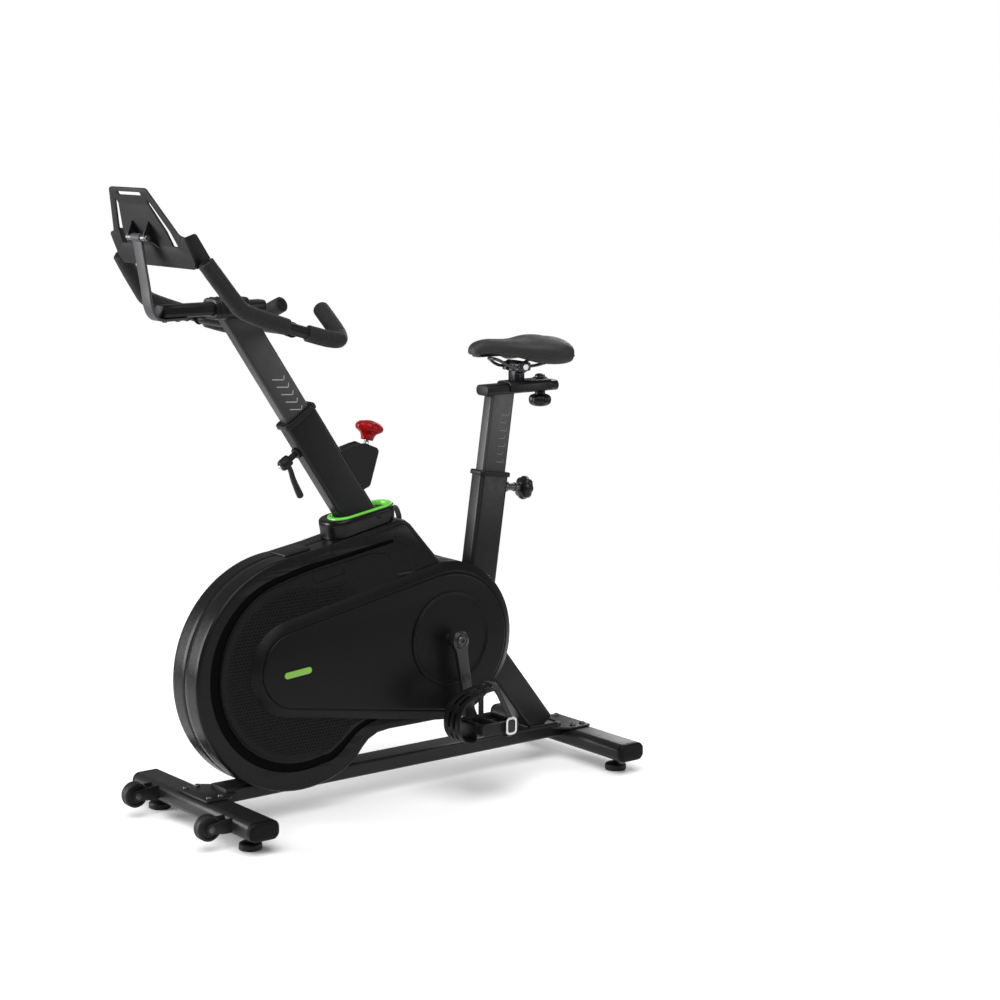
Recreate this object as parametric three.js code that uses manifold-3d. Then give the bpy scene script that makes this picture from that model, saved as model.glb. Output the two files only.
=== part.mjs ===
// Indoor spin bike, millimetres, +Z up.  -X is the front of the bike, -Y the rider's left.
// Drawing coordinates put the crank axis over x = 0 and the floor at z = 0; the outer group
// shifts them so that the origin is the bottom centre of the whole bike.
import * as THREE from 'three';
import { mergeVertices } from 'three/addons/utils/BufferGeometryUtils.js';
import Module from 'manifold-3d';

const wasm = await Module();
wasm.setup();

// ---------------------------------------------------------------- driving dimensions
const ORIGIN_X = 148.865;                    // shift of the drawing to the bike's middle
const GAP = 0.3;                           // clearance between touching pieces

const CRANK = { x: 0, z: 314, arm: 170, lean: 9 };      // crank axis, arm length, arm lean
const FLY = { x: -356, z: 290, r: 190, half: 13 };      // flywheel
const DRIVE = { big: 118, small: 29.5, belt: 3, y0: -41, y1: -29 };

const POST_W = 60, POST_D = 30;            // inner posts
const SLEEVE_W = 76, SLEEVE_D = 40;        // outer frame tubes
const HEAD = { x: -322, z: 785, lean: -33.5 };          // top of the head tube and its lean
const SEAT = { x: 151.4, z: 627, lean: 8.5 };               // top of the seat tube and its lean

const BEAM = { z0: 47, z1: 77, half: 30 };
const FRONT_BAR = -550, REAR_BAR = 355, BAR_HALF = 33, BAR_Z0 = 27, BAR_Z1 = 65, BAR_LEN = 428;
const WHEEL = { x: -624, y: 139, z: 47, r: 25.5, half: 11 };
const FOOT_Y = 171, FOOT_R = 22.5;

const DISC = { x: -352, z: 285, r: 235 };  // front circle of the casing
const TAIL = { x: 0, z: 305, r: 165 };     // rear circle of the casing
const CASE_Y = 48;                         // half width of the casing
const COVER_Y = 66;                        // outer face of the drive cover

const SLIDER_Z = 1008;                     // handlebar slider tube
const SEAT_SLIDER = { x0: 131, x1: 319, z: 806 };
const TRAY_PIVOT = { x: -664, z: 1147, lean: -23.9 };
const PEDAL = { x: 26.6, z: 146.1, y0: 112, y1: 200 };

// ---------------------------------------------------------------- helpers
const rad = (d) => (d * Math.PI) / 180;

function clean(geometry) {
  const g = geometry.clone();
  for (const n of Object.keys(g.attributes)) if (n !== 'position') g.deleteAttribute(n);
  const m = mergeVertices(g, 1e-3);
  const p = m.attributes.position, ix = m.index.array;
  const keep = [];
  let volume = 0;
  const a = new THREE.Vector3(), b = new THREE.Vector3(), c = new THREE.Vector3();
  for (let i = 0; i < ix.length; i += 3) {
    if (ix[i] === ix[i + 1] || ix[i + 1] === ix[i + 2] || ix[i] === ix[i + 2]) continue;
    keep.push(ix[i], ix[i + 1], ix[i + 2]);
    a.fromBufferAttribute(p, ix[i]); b.fromBufferAttribute(p, ix[i + 1]); c.fromBufferAttribute(p, ix[i + 2]);
    volume += a.dot(b.cross(c));
  }
  if (volume < 0) for (let i = 0; i < keep.length; i += 3) [keep[i], keep[i + 1]] = [keep[i + 1], keep[i]];
  const out = new THREE.BufferGeometry();
  out.setAttribute('position', new THREE.BufferAttribute(new Float32Array(p.array), 3));
  out.setIndex(keep);
  return out;
}
function solid(geometry) {
  const g = clean(geometry);
  return new wasm.Manifold(new wasm.Mesh({
    numProp: 3,
    vertProperties: new Float32Array(g.attributes.position.array),
    triVerts: new Uint32Array(g.index.array),
  }));
}
function shell(manifold) {
  const mesh = manifold.getMesh();
  const g = new THREE.BufferGeometry();
  g.setAttribute('position', new THREE.BufferAttribute(new Float32Array(mesh.vertProperties), 3));
  g.setIndex(new THREE.BufferAttribute(new Uint32Array(mesh.triVerts), 1));
  return g;
}
const join = (...list) => shell(list.map(solid).reduce((a, b) => a.add(b)));
const cut = (body, ...tools) => shell(tools.map(solid).reduce((a, b) => a.subtract(b), solid(body)));

const toShape = (points, holes = []) => {
  const s = new THREE.Shape(points.map(([x, y]) => new THREE.Vector2(x, y)));
  for (const h of holes) s.holes.push(new THREE.Path(h.map(([x, y]) => new THREE.Vector2(x, y))));
  return s;
};
// side-view outline [x, z], thick from y0 to y1
function prism(points, y0, y1, holes = []) {
  const g = new THREE.ExtrudeGeometry(toShape(points, holes), { depth: y1 - y0, bevelEnabled: false });
  g.rotateX(Math.PI / 2);
  g.translate(0, y1, 0);
  return g;
}
// plan-view outline [x, y], from z0 to z1
function slab(points, z0, z1, holes = []) {
  const g = new THREE.ExtrudeGeometry(toShape(points, holes), { depth: z1 - z0, bevelEnabled: false });
  g.translate(0, 0, z0);
  return g;
}
function roundRect(w, d, r, n = 3, cx = 0, cy = 0) {
  const out = [];
  for (const [sx, sy, a0] of [[1, 1, 0], [-1, 1, 90], [-1, -1, 180], [1, -1, 270]])
    for (let i = 0; i <= n; i++) {
      const a = rad(a0 + (90 * i) / n);
      out.push([cx + sx * (w / 2 - r) + r * Math.cos(a), cy + sy * (d / 2 - r) + r * Math.sin(a)]);
    }
  return out;
}
const circle = (r, n = 24, cx = 0, cy = 0) =>
  Array.from({ length: n }, (_, i) => [cx + r * Math.cos((2 * Math.PI * i) / n), cy + r * Math.sin((2 * Math.PI * i) / n)]);
const arc = (cx, cy, r, a0, a1, n) =>
  Array.from({ length: n + 1 }, (_, i) => {
    const a = rad(a0 + ((a1 - a0) * i) / n);
    return [cx + r * Math.cos(a), cy + r * Math.sin(a)];
  });
const box = (x0, x1, y0, y1, z0, z1) => {
  const g = new THREE.BoxGeometry(x1 - x0, y1 - y0, z1 - z0);
  g.translate((x0 + x1) / 2, (y0 + y1) / 2, (z0 + z1) / 2);
  return g;
};
const rodY = (x, z, r, y0, y1, n = 20) => {
  const g = new THREE.CylinderGeometry(r, r, y1 - y0, n);
  g.translate(x, (y0 + y1) / 2, z);
  return g;
};
const rodZ = (x, y, r, z0, z1, n = 20) => {
  const g = new THREE.CylinderGeometry(r, r, z1 - z0, n);
  g.rotateX(Math.PI / 2);
  g.translate(x, y, (z0 + z1) / 2);
  return g;
};
// profile [radius, height] turned about Y, or about Z
const turnY = (profile, n = 32) => new THREE.LatheGeometry(profile.map(([r, y]) => new THREE.Vector2(r, y)), n);
const turnZ = (profile, n = 32) => turnY(profile, n).rotateX(Math.PI / 2);
// a piece drawn along local +Z, leaned about Y and moved to (x, y, z)
const placed = (g, x, y, z, lean = 0) => g.rotateY(rad(lean)).translate(x, y, z);

function curveOf(points, tension = 0.5) {
  return new THREE.CatmullRomCurve3(points.map((p) => new THREE.Vector3(...p)), false, 'centripetal', tension);
}
function sweep(points, outer, steps, sides = 12, inner = 0) {
  const s = toShape(circle(outer, sides), inner ? [circle(inner, sides)] : []);
  return new THREE.ExtrudeGeometry(s, { steps, bevelEnabled: false, extrudePath: curveOf(points) });
}
const part = (points, t0, t1, n = 24) => {
  const c = curveOf(points);
  return Array.from({ length: n + 1 }, (_, i) => c.getPointAt(t0 + ((t1 - t0) * i) / n).toArray());
};
const mirrorY = (g) => g.clone().scale(1, -1, 1);

// outline moved inwards by d (outlines run counter-clockwise)
function inset(poly, d) {
  const n = poly.length;
  return poly.map((p, i) => {
    const a = poly[(i + n - 1) % n], b = poly[(i + 1) % n];
    const u = new THREE.Vector2(p[0] - a[0], p[1] - a[1]).normalize();
    const v = new THREE.Vector2(b[0] - p[0], b[1] - p[1]).normalize();
    const nu = [-u.y, u.x], nv = [-v.y, v.x];
    const k = d / Math.max(0.35, 1 + nu[0] * nv[0] + nu[1] * nv[1]);
    return [p[0] + (nu[0] + nv[0]) * k, p[1] + (nu[1] + nv[1]) * k];
  });
}
// closed skin through rings of equal length; each ring is a list of [x, y, z]
function loft(rings) {
  const n = rings[0].length, pos = [], idx = [];
  for (const r of rings) for (const p of r) pos.push(...p);
  for (let k = 0; k + 1 < rings.length; k++)
    for (let i = 0; i < n; i++) {
      const j = (i + 1) % n, a = k * n + i, b = k * n + j, c = (k + 1) * n + j, d = (k + 1) * n + i;
      idx.push(a, b, c, a, c, d);
    }
  for (const [k, flip] of [[0, true], [rings.length - 1, false]]) {
    const r = rings[k];
    const spread = [0, 1, 2].map((q) => Math.max(...r.map((p) => p[q])) - Math.min(...r.map((p) => p[q])));
    const flat = spread.indexOf(Math.min(...spread));
    const [u, v] = [0, 1, 2].filter((q) => q !== flat);
    const tris = THREE.ShapeUtils.triangulateShape(r.map((p) => new THREE.Vector2(p[u], p[v])), []);
    let area = 0;
    for (let i = 0; i < n; i++) { const p = r[i], q = r[(i + 1) % n]; area += p[u] * q[v] - q[u] * p[v]; }
    for (const t of tris) {
      const [a, b, c] = t.map((i) => k * n + i);
      // triangulateShape keeps the ring's own turning sense
      if (flip) idx.push(a, c, b); else idx.push(a, b, c);
    }
  }
  const g = new THREE.BufferGeometry();
  g.setAttribute('position', new THREE.BufferAttribute(new Float32Array(pos), 3));
  g.setIndex(idx);
  return g;
}
const ringY = (poly, y) => poly.map(([x, z]) => [x, y, z]);

// ---------------------------------------------------------------- outlines of the casing
// main casing, counter-clockwise seen with +X right and +Z up
function caseOutline() {
  const out = [];
  out.push(...arc(TAIL.x, TAIL.z, TAIL.r, -92, 93, 16));                 // tail, from below to the top
  out.push([-40, 505], [-84, 556], [-98, 566], [-114, 567]);             // slope up to the collar
  out.push([-200, 550], [-290, 532]);                                    // collar seat
  out.push(...arc(DISC.x, DISC.z, DISC.r, 94, 297, 20));                 // front disc, top to bottom rear
  out.push([-222, 92], [-206, 112], [-190, 127], [-168, 137], [-140, 140]);
  return out;
}
// tear-drop of the drive cover, big end on the crank, small end on the flywheel
function tear(big, small, sx = -372, sz = 300) {
  const dx = sx - TAIL.x, dz = sz - TAIL.z, d = Math.hypot(dx, dz);
  const base = Math.atan2(dz, dx), off = Math.acos((big - small) / d);
  const a0 = (base + off) * (180 / Math.PI), a1 = (base - off) * (180 / Math.PI);
  // big arc runs counter-clockwise from the lower tangent to the upper one
  let s = a0, e = a1;
  while (e > s) e -= 360;
  const bigArc = arc(TAIL.x, TAIL.z, big, s, e + 360, 16);
  const smallArc = arc(sx, sz, small, e + 360, s + 360, 10);
  return [...bigArc, ...smallArc];
}

// ---------------------------------------------------------------- pieces
const group = new THREE.Group();
const bike = new THREE.Group();
bike.position.set(ORIGIN_X, 0, 0);
group.add(bike);

const PAINT = { color: 0x151517, roughness: 0.45, metalness: 0.3 };
const SHELL = { color: 0x1b1b1d, roughness: 0.55, metalness: 0.0 };
const FACE = { color: 0x141415, roughness: 0.42, metalness: 0.0 };
const RUBBER = { color: 0x0d0d0e, roughness: 0.9, metalness: 0.0 };
const STEEL = { color: 0xc8c9cc, roughness: 0.25, metalness: 1.0 };
const IRON = { color: 0x4a4b4d, roughness: 0.5, metalness: 0.9 };
const ALLOY = { color: 0x9a9c9f, roughness: 0.35, metalness: 0.9 };

function add(name, geometry, look, parent = bike) {
  const g = clean(geometry);
  const flat = g.toNonIndexed();
  flat.computeVertexNormals();
  const mesh = new THREE.Mesh(flat, new THREE.MeshStandardMaterial(look));
  mesh.name = name;
  parent.add(mesh);
  return mesh;
}
function at(mesh, x, y, z, lean = 0) {
  mesh.position.set(x, y, z);
  mesh.rotation.y = rad(lean);
  return mesh;
}

// ----- frame tubes
const headTube = (grow = 0, z0 = -560, z1 = 0) =>
  placed(slab(roundRect(SLEEVE_W + 2 * grow, SLEEVE_D + 2 * grow, 9 + grow), z0, z1), HEAD.x, 0, HEAD.z, HEAD.lean);
const headBore = placed(slab(roundRect(SLEEVE_W - 5, SLEEVE_D - 5, 7), -330, 5), HEAD.x, 0, HEAD.z, HEAD.lean);
const seatTube = (grow = 0, z0 = -330, z1 = 0) =>
  placed(slab(roundRect(SLEEVE_W - 4 + 2 * grow, SLEEVE_D + 2 * grow, 9 + grow), z0, z1), SEAT.x, 0, SEAT.z, SEAT.lean);
const seatBore = placed(slab(roundRect(SLEEVE_W - 9, SLEEVE_D - 5, 7), -300, 5), SEAT.x, 0, SEAT.z, SEAT.lean);
const strut = (grow = 0) =>
  placed(slab(roundRect(60 + 2 * grow, 50 + 2 * grow, 7 + grow), -300, 0), 94, 0, 312, -37.9);
const beam = (grow = 0) =>
  box(FRONT_BAR + BAR_HALF + 0.5, REAR_BAR - BAR_HALF - 0.5, -BEAM.half - grow, BEAM.half + grow, BEAM.z0 - grow, BEAM.z1 + grow);
const forkPlate = (y0, y1) => prism([
  [-425, 60], [-288, 60], [-322, 270], [-318, 306], [-240, 425], [-175, 482], [-150, 500], [-150, 520], [-240, 524],
  [-268, 492], [-296, 440], [-352, 330], [-384, 318], [-396, 290],
], y0, y1);
const brakePivot = { x: -258, z: 470 };

let frame = join(
  headTube(0, -545, 0), seatTube(0, -322, 0), strut(), beam(),
  rodY(CRANK.x, CRANK.z, 26, -24, 24, 28),
  prism([[-6, 292], [100, 292], [112, 322], [60, 345], [0, 340]], -18, 18),
  forkPlate(-24.5, -19.5), forkPlate(19.5, 24.5),
  rodY(brakePivot.x, brakePivot.z, 4, -20, 20, 12),
  slab([[FRONT_BAR - 26, -58], [FRONT_BAR + 26, -58], [FRONT_BAR + 60, -28], [FRONT_BAR + 60, 28], [FRONT_BAR + 26, 58], [FRONT_BAR - 26, 58]], BAR_Z1 + GAP, BAR_Z1 + 5),
  slab([[REAR_BAR - 60, -28], [REAR_BAR - 26, -58], [REAR_BAR + 26, -58], [REAR_BAR + 26, 58], [REAR_BAR - 26, 58], [REAR_BAR - 60, 28]], BAR_Z1 + GAP, BAR_Z1 + 5),
);
frame = cut(frame, headBore, seatBore,
  rodY(CRANK.x, CRANK.z, 20.3, -30, 30, 28),
  rodY(FLY.x, FLY.z, 8.4, -30, 30, 20),
  box(REAR_BAR - BAR_HALF - 0.4, REAR_BAR + 60, -60, 60, 0, BAR_Z1 + GAP - 0.01));
add('main_frame', frame, PAINT);

// ----- stabilisers: flat oval tubes with plastic end caps
const barSection = (grow = 0) => roundRect(2 * BAR_HALF + 2 * grow, BAR_Z1 - BAR_Z0 + 2 * grow, 15 + grow, 3, 0, (BAR_Z0 + BAR_Z1) / 2);
function stabiliser(x, wheels) {
  let g = prism(barSection().map(([a, b]) => [a + x, b]), -BAR_LEN / 2, BAR_LEN / 2);
  if (wheels) {
    const cheeks = [];
    for (const s of [-1, 1])
      for (const o of [-1, 1]) {
        const y = s * WHEEL.y + o * 14;
        cheeks.push(prism([[x - BAR_HALF + 12, 32], [x - BAR_HALF + 12, 62], [x - BAR_HALF - 6, 62], ...arc(WHEEL.x, WHEEL.z, 10, 90, 270, 4), [x - BAR_HALF - 6, 32]], y - 2, y + 2));
      }
    for (const s of [-1, 1]) cheeks.push(rodY(WHEEL.x, WHEEL.z, 4, s * WHEEL.y - 18, s * WHEEL.y + 18, 12));
    g = join(g, ...cheeks);
  }
  return cut(g, rodZ(x, -FOOT_Y, 5.4, 20, 56, 12), rodZ(x, FOOT_Y, 5.4, 20, 56, 12));
}
add('front_stabiliser', stabiliser(FRONT_BAR, true), PAINT);
add('rear_stabiliser', stabiliser(REAR_BAR, false), PAINT);
const capShape = (sign) => {
  const s = barSection();
  const rings = [[0, 0], [7, 0], [10.5, 2.5], [12, 6]].map(([y, d]) => ringY(inset(s, d), sign * (BAR_LEN / 2 + GAP + y)));
  return loft(rings);
};
for (const [name, x] of [['front', FRONT_BAR], ['rear', REAR_BAR]])
  for (const [side, s] of [['left', -1], ['right', 1]])
    at(add(`${name}_${side}_cap`, capShape(s), RUBBER), x, 0, 0);

// ----- transport wheels and levelling feet
const wheelShape = turnY([[4.3, -WHEEL.half], [10, -WHEEL.half], [10, -8], [19, -8], [20, -WHEEL.half], [WHEEL.r, -9.5],
  [WHEEL.r, 9.5], [20, WHEEL.half], [19, 8], [10, 8], [10, WHEEL.half], [4.3, WHEEL.half], [4.3, -WHEEL.half]], 16);
at(add('left_wheel', wheelShape, RUBBER), WHEEL.x, -WHEEL.y, WHEEL.z);
at(add('right_wheel', wheelShape, RUBBER), WHEEL.x, WHEEL.y, WHEEL.z);
const footShape = turnZ([[0, 0], [FOOT_R - 1.5, 0], [FOOT_R, 2], [FOOT_R - 1, 11], [FOOT_R - 5, 14], [9, 15.5], [5, 16.5], [5, 52], [0, 52]], 14);
for (const [name, x] of [['front', FRONT_BAR], ['rear', REAR_BAR]])
  for (const [side, s] of [['left', -1], ['right', 1]])
    at(add(`${name}_${side}_foot`, footShape, RUBBER), x, s * FOOT_Y, 0);

// ----- casing halves
const outline = caseOutline();
const teardrop = tear(TAIL.r, 99);
function casingHalf(side) {
  const rings = [
    [44.5, 14], [34, 3.5], [0.15, 3.5], [0.15, 0], [35, 0], [CASE_Y, 12],
  ].map(([y, d]) => ringY(inset(outline, d), side * y));
  let g = loft(rings);
  return cut(g, headTube(1, -560, 5), seatTube(1, -335, 5), strut(1), beam(1),
    rodY(CRANK.x, CRANK.z, 24, -60, 60, 24),
    box(-520, -100, -31, 31, 40, 78));
}
add('left_casing', casingHalf(-1), SHELL);
add('right_casing', casingHalf(1), SHELL);

// ----- textured side panels, and raised drive covers with a round boss over the crank
const panelOutline = [
  ...arc(-354, 292, 181, 112, 292, 24),
  [-262, 138], [-236, 162], [-205, 172], [-170, 176], [-120, 200], [-120, 470], [-150, 503], [-180, 507], [-260, 495], [-350, 481],
];
function sidePanel(side) {
  const a = side < 0 ? [-51.5, -48.3] : [48.3, 51.5];
  return cut(prism(panelOutline, a[0], a[1]), prism(inset(teardrop, -0.5), side < 0 ? -60 : 40, side < 0 ? -40 : 60));
}
add('left_side_panel', sidePanel(-1), SHELL);
add('right_side_panel', sidePanel(1), SHELL);
function driveCover(side) {
  const rows = [[62.8, 25], [48.3, 4], [48.3, 0], [52, 0.6], [62, 15], [COVER_Y, 22]];
  const g = loft(rows.map(([y, d]) => ringY(tear(TAIL.r - d, 99 - d), side * y)));
  const y0 = side < 0 ? -78 : 65, y1 = side < 0 ? -65 : 78;
  const boss = turnY([[0, 0], [95, 0], [95, 9.5], [92, 12.5], [0, 12.5]], 24)
    .scale(1, side, 1).translate(CRANK.x, side * 65.5, CRANK.z);
  return cut(join(g, boss), rodY(CRANK.x, CRANK.z, 16, -90, 90, 24));
}
add('left_drive_cover', driveCover(-1), FACE);
add('right_drive_cover', driveCover(1), FACE);
const pill = [...arc(25, 0, 6.4, -90, 90, 6), ...arc(-25, 0, 6.4, 90, 270, 6)];
at(add('light_lens', prism(pill, -1.6, 0), { color: 0x6cc03c, roughness: 0.3, metalness: 0 }), -370, -COVER_Y - GAP, 294, -4.8);

// ----- collar at the foot of the head tube, green trim ring, hatch in the casing's top
const collarSeat = (x) => 531.5 + (x + 290) * 0.2018 + 1.6;
const collarTop = (x) => 574 + (x + 263) * 0.164;
const collarRing = (z, w0, w1, half, r, n = 6) =>
  roundRect(w1 - w0, 2 * half, r, n, (w0 + w1) / 2, 0).map(([x, y]) => [x, y, z(x)]);
const ringPlan = (grow, z) => collarRing(z, -247 - grow, -107 + grow, 33 + grow, 30 + grow);
const collar = cut(
  loft([
    collarRing(collarSeat, -261, -104, 40, 34),
    collarRing((x) => collarTop(x) - 20, -262, -104, 42, 36),
    collarRing((x) => collarTop(x) - 10, -264, -105, 44, 38),
    collarRing(collarTop, -261, -108, 41, 36),
  ]),
  headTube(0.8, -560, 5),
  loft([ringPlan(0.5, (x) => collarTop(x) - 6.8), ringPlan(0.5, (x) => collarTop(x) + 60)]));
add('tower_collar', collar, FACE);
add('trim_ring', cut(loft([ringPlan(0, (x) => collarTop(x) - 6.5), ringPlan(0, (x) => collarTop(x) + 2)]), headTube(0.8, -560, 5)),
  { color: 0x4fae2c, roughness: 0.35, metalness: 0 });
add('access_hatch', prism([[-372, 519.7], [-313, 529.1], [-313, 531.3], [-372, 521.9]], -30, 30), SHELL);

// ----- plastic guides in the tube mouths
const guide = (w, d, w2, d2) => join(
  slab(roundRect(w, d, 6), -78, 4, [roundRect(POST_W + 0.9, POST_D + 0.9, 5)]),
  slab(roundRect(w2, d2, 9, 4), GAP, 10, [roundRect(POST_W + 0.9, POST_D + 0.9, 5)]));
at(add('head_guide', guide(SLEEVE_W - 5.8, SLEEVE_D - 5.8, SLEEVE_W + 6, SLEEVE_D + 6), FACE), HEAD.x, 0, HEAD.z, HEAD.lean);
at(add('seat_guide', guide(SLEEVE_W - 9.8, SLEEVE_D - 5.8, SLEEVE_W + 3, SLEEVE_D + 6), FACE), SEAT.x, 0, SEAT.z, SEAT.lean);

// ----- crank set
const bearing = turnY([[9.1, -6], [20, -6], [20, 6], [9.1, 6], [9.1, -6]], 20);
at(add('left_bearing', bearing, STEEL), CRANK.x, -17.5, CRANK.z);
at(add('right_bearing', bearing, STEEL), CRANK.x, 17.5, CRANK.z);
at(add('crank_spindle', turnY([[0, -101], [8.7, -101], [8.7, 101], [0, 101]], 20), STEEL), CRANK.x, 0, CRANK.z);
at(add('drive_pulley', turnY([[9.1, -42], [24, -42], [24, -37], [108, -37], [108, -42], [DRIVE.big, -42], [DRIVE.big, -28],
  [108, -28], [108, -33], [24, -33], [24, -26.5], [9.1, -26.5], [9.1, -42]], 26), ALLOY), CRANK.x, 0, CRANK.z);
function crankArm(sign) {
  // sign -1: left arm, hanging down and a little to the rear; +1: right arm, opposite
  const a = rad(CRANK.lean), ux = Math.sin(a), uz = -Math.cos(a), k = sign < 0 ? 1 : -1;
  const at2 = (s, w) => [k * (s * ux - w * uz), k * (s * uz + w * ux)];
  const pts = [...arc(0, 0, 20, 0, 360, 20).slice(0, 20)];
  const end = at2(CRANK.arm, 0);
  const bar = [at2(4, 14), at2(CRANK.arm, 12), at2(CRANK.arm, -12), at2(4, -14)];
  const y = sign < 0 ? [-104, -88] : [88, 104];
  const boss = sign < 0 ? [-104, -80] : [80, 104];
  return cut(join(prism(pts, boss[0], boss[1]), prism(bar, y[0] + 2, y[1] - 2), prism(circle(16, 20, end[0], end[1]), y[0] - 0, y[1])),
    rodY(0, 0, 9, -120, 120, 20), rodY(end[0], end[1], 6.6, -120, 120, 12));
}
at(add('left_crank', crankArm(-1), PAINT), CRANK.x, 0, CRANK.z);
at(add('right_crank', crankArm(1), PAINT), CRANK.x, 0, CRANK.z);
const spindleShape = (s) => turnY([[0, -60.5], [5.8, -60.5], [5.8, 17], [10, 17.5], [10, 21], [6.2, 21], [6.2, 37], [0, 37]].map(([r, y]) => [r, -s * y]), 14);
at(add('left_pedal_spindle', spindleShape(-1), STEEL), PEDAL.x, -125.5, PEDAL.z);
at(add('right_pedal_spindle', spindleShape(1), STEEL), -PEDAL.x, 125.5, 2 * CRANK.z - PEDAL.z);

// ----- pedals with toe cages (drawn for the left, mirrored for the right)
const pedalBody = cut(
  prism(roundRect(92, 24, 9, 4), -42, 42),
  box(12, 36, -33, 33, -30, 30), box(-36, -12, -33, 33, -30, 30),
  rodY(0, 0, 6.6, -60, 60, 16));
const strip = (line, t) => {
  const left = [], right = [];
  line.forEach((p, i) => {
    const a = line[Math.max(0, i - 1)], b = line[Math.min(line.length - 1, i + 1)];
    const l = Math.hypot(b[0] - a[0], b[1] - a[1]), nx = -(b[1] - a[1]) / l, nz = (b[0] - a[0]) / l;
    left.push([p[0] + (nx * t) / 2, p[1] + (nz * t) / 2]);
    right.push([p[0] - (nx * t) / 2, p[1] - (nz * t) / 2]);
  });
  return [...left, ...right.reverse()];
};
const cageLine = [[-47.9, -22], [-60, -24], [-84, -14], [-98, 8], [-100, 32], [-88, 56], [-64, 70], [-36, 76], [-8, 77.5], [14, 77.6]];
const strapRing = roundRect(98, 98, 12, 3, 0, 30);
const cage = join(
  prism(strip(cageLine, 3), -27, 27),
  prism([[-49.5, -23.5], [-46.4, -23.5], [-46.4, 10], [-49.5, 10]], -27, 27),
  new THREE.ExtrudeGeometry(toShape(strapRing, [inset(strapRing, 2.5)]), { depth: 20, bevelEnabled: false })
    .applyMatrix4(new THREE.Matrix4().makeBasis(new THREE.Vector3(0, 1, 0), new THREE.Vector3(0, 0, 1), new THREE.Vector3(1, 0, 0)))
    .translate(11, 0, 0));
const PEDAL_Y = (PEDAL.y0 + PEDAL.y1) / 2;
at(add('left_pedal', pedalBody, FACE), PEDAL.x, -PEDAL_Y, PEDAL.z);
at(add('right_pedal', pedalBody, FACE), -PEDAL.x, PEDAL_Y, 2 * CRANK.z - PEDAL.z);
at(add('left_toe_cage', cage, FACE), PEDAL.x, -PEDAL_Y, PEDAL.z);
at(add('right_toe_cage', cage, FACE), -PEDAL.x, PEDAL_Y, 2 * CRANK.z - PEDAL.z);

// ----- flywheel with its pulley, axle, belt, brake arm
at(add('flywheel', join(
  turnY([[8.9, -16], [30, -16], [30, -7], [150, -7], [158, -FLY.half], [FLY.r, -FLY.half], [FLY.r, FLY.half], [158, FLY.half], [150, 7], [30, 7], [30, 16], [8.9, 16], [8.9, -16]], 28)), IRON), FLY.x, 0, FLY.z);
at(add('flywheel_pulley', turnY([[8.9, -43], [DRIVE.small + 3.5, -43], [DRIVE.small + 3.5, -41.6], [DRIVE.small, -41.6], [DRIVE.small, -28.4], [DRIVE.small + 3.5, -28.4], [DRIVE.small + 3.5, -27],
  [14, -27], [14, -25.3], [8.9, -25.3], [8.9, -43]], 18), ALLOY), FLY.x, 0, FLY.z);
at(add('flywheel_axle', turnY([[0, -43.5], [8.2, -43.5], [8.2, 25.2], [13, 25.2], [13, 32], [8.2, 32], [8.2, 38], [0, 38]], 20), STEEL), FLY.x, 0, FLY.z);
function beltLoop(extra) {
  const r1 = DRIVE.big + extra, r2 = DRIVE.small + extra;
  const dx = FLY.x - CRANK.x, dz = FLY.z - CRANK.z, d = Math.hypot(dx, dz);
  const base = (Math.atan2(dz, dx) * 180) / Math.PI, off = (Math.acos((r1 - r2) / d) * 180) / Math.PI;
  return [...arc(CRANK.x, CRANK.z, r1, base + off - 360, base - off, 30), ...arc(FLY.x, FLY.z, r2, base - off, base + off, 10)];
}
add('drive_belt', prism(beltLoop(0.9 + DRIVE.belt), DRIVE.y0, DRIVE.y1, [beltLoop(0.9)]), RUBBER);
const brakeArc = (r0, r1, y0, y1) => prism([...arc(FLY.x, FLY.z, r0, 18, 66, 8), ...arc(FLY.x, FLY.z, r1, 66, 18, 8)], y0, y1);
add('brake_arm', cut(join(brakeArc(198, 212, -17.5, 17.5), brakeArc(168, 200, -18.4, -15.6), brakeArc(168, 200, 15.6, 18.4)),
  rodY(brakePivot.x, brakePivot.z, 4.6, -30, 30, 12)), IRON);

// ----- resistance knob on a bracket behind the head tube
const KNOB = { x: -161, z: 716, lean: 14.5 };
add('knob_bracket', cut(prism([[-190, 719.5], [-176, 722], [-143, 708], [-165, 640], [-180, 634], [-236, 708]], -17, 17), headTube(GAP, -560, 5),
  placed(rodZ(0, 0, 5.5, -40, 40, 14), KNOB.x, 0, KNOB.z, KNOB.lean)), FACE);
at(add('knob_stem', turnZ([[0, -30], [5, -30], [5, 9], [3.6, 11], [3.6, 38], [0, 38]], 14), STEEL), KNOB.x, 0, KNOB.z, KNOB.lean);
at(add('resistance_knob', turnZ([[4, 12], [12, 12], [13, 18], [17, 25], [27, 31], [30, 37], [29, 42], [22, 48], [10, 51], [0, 52], [0, 38.5], [4, 38.5], [4, 12]], 18),
  { color: 0xc01818, roughness: 0.3, metalness: 0 }), KNOB.x, 0, KNOB.z, KNOB.lean);

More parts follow.
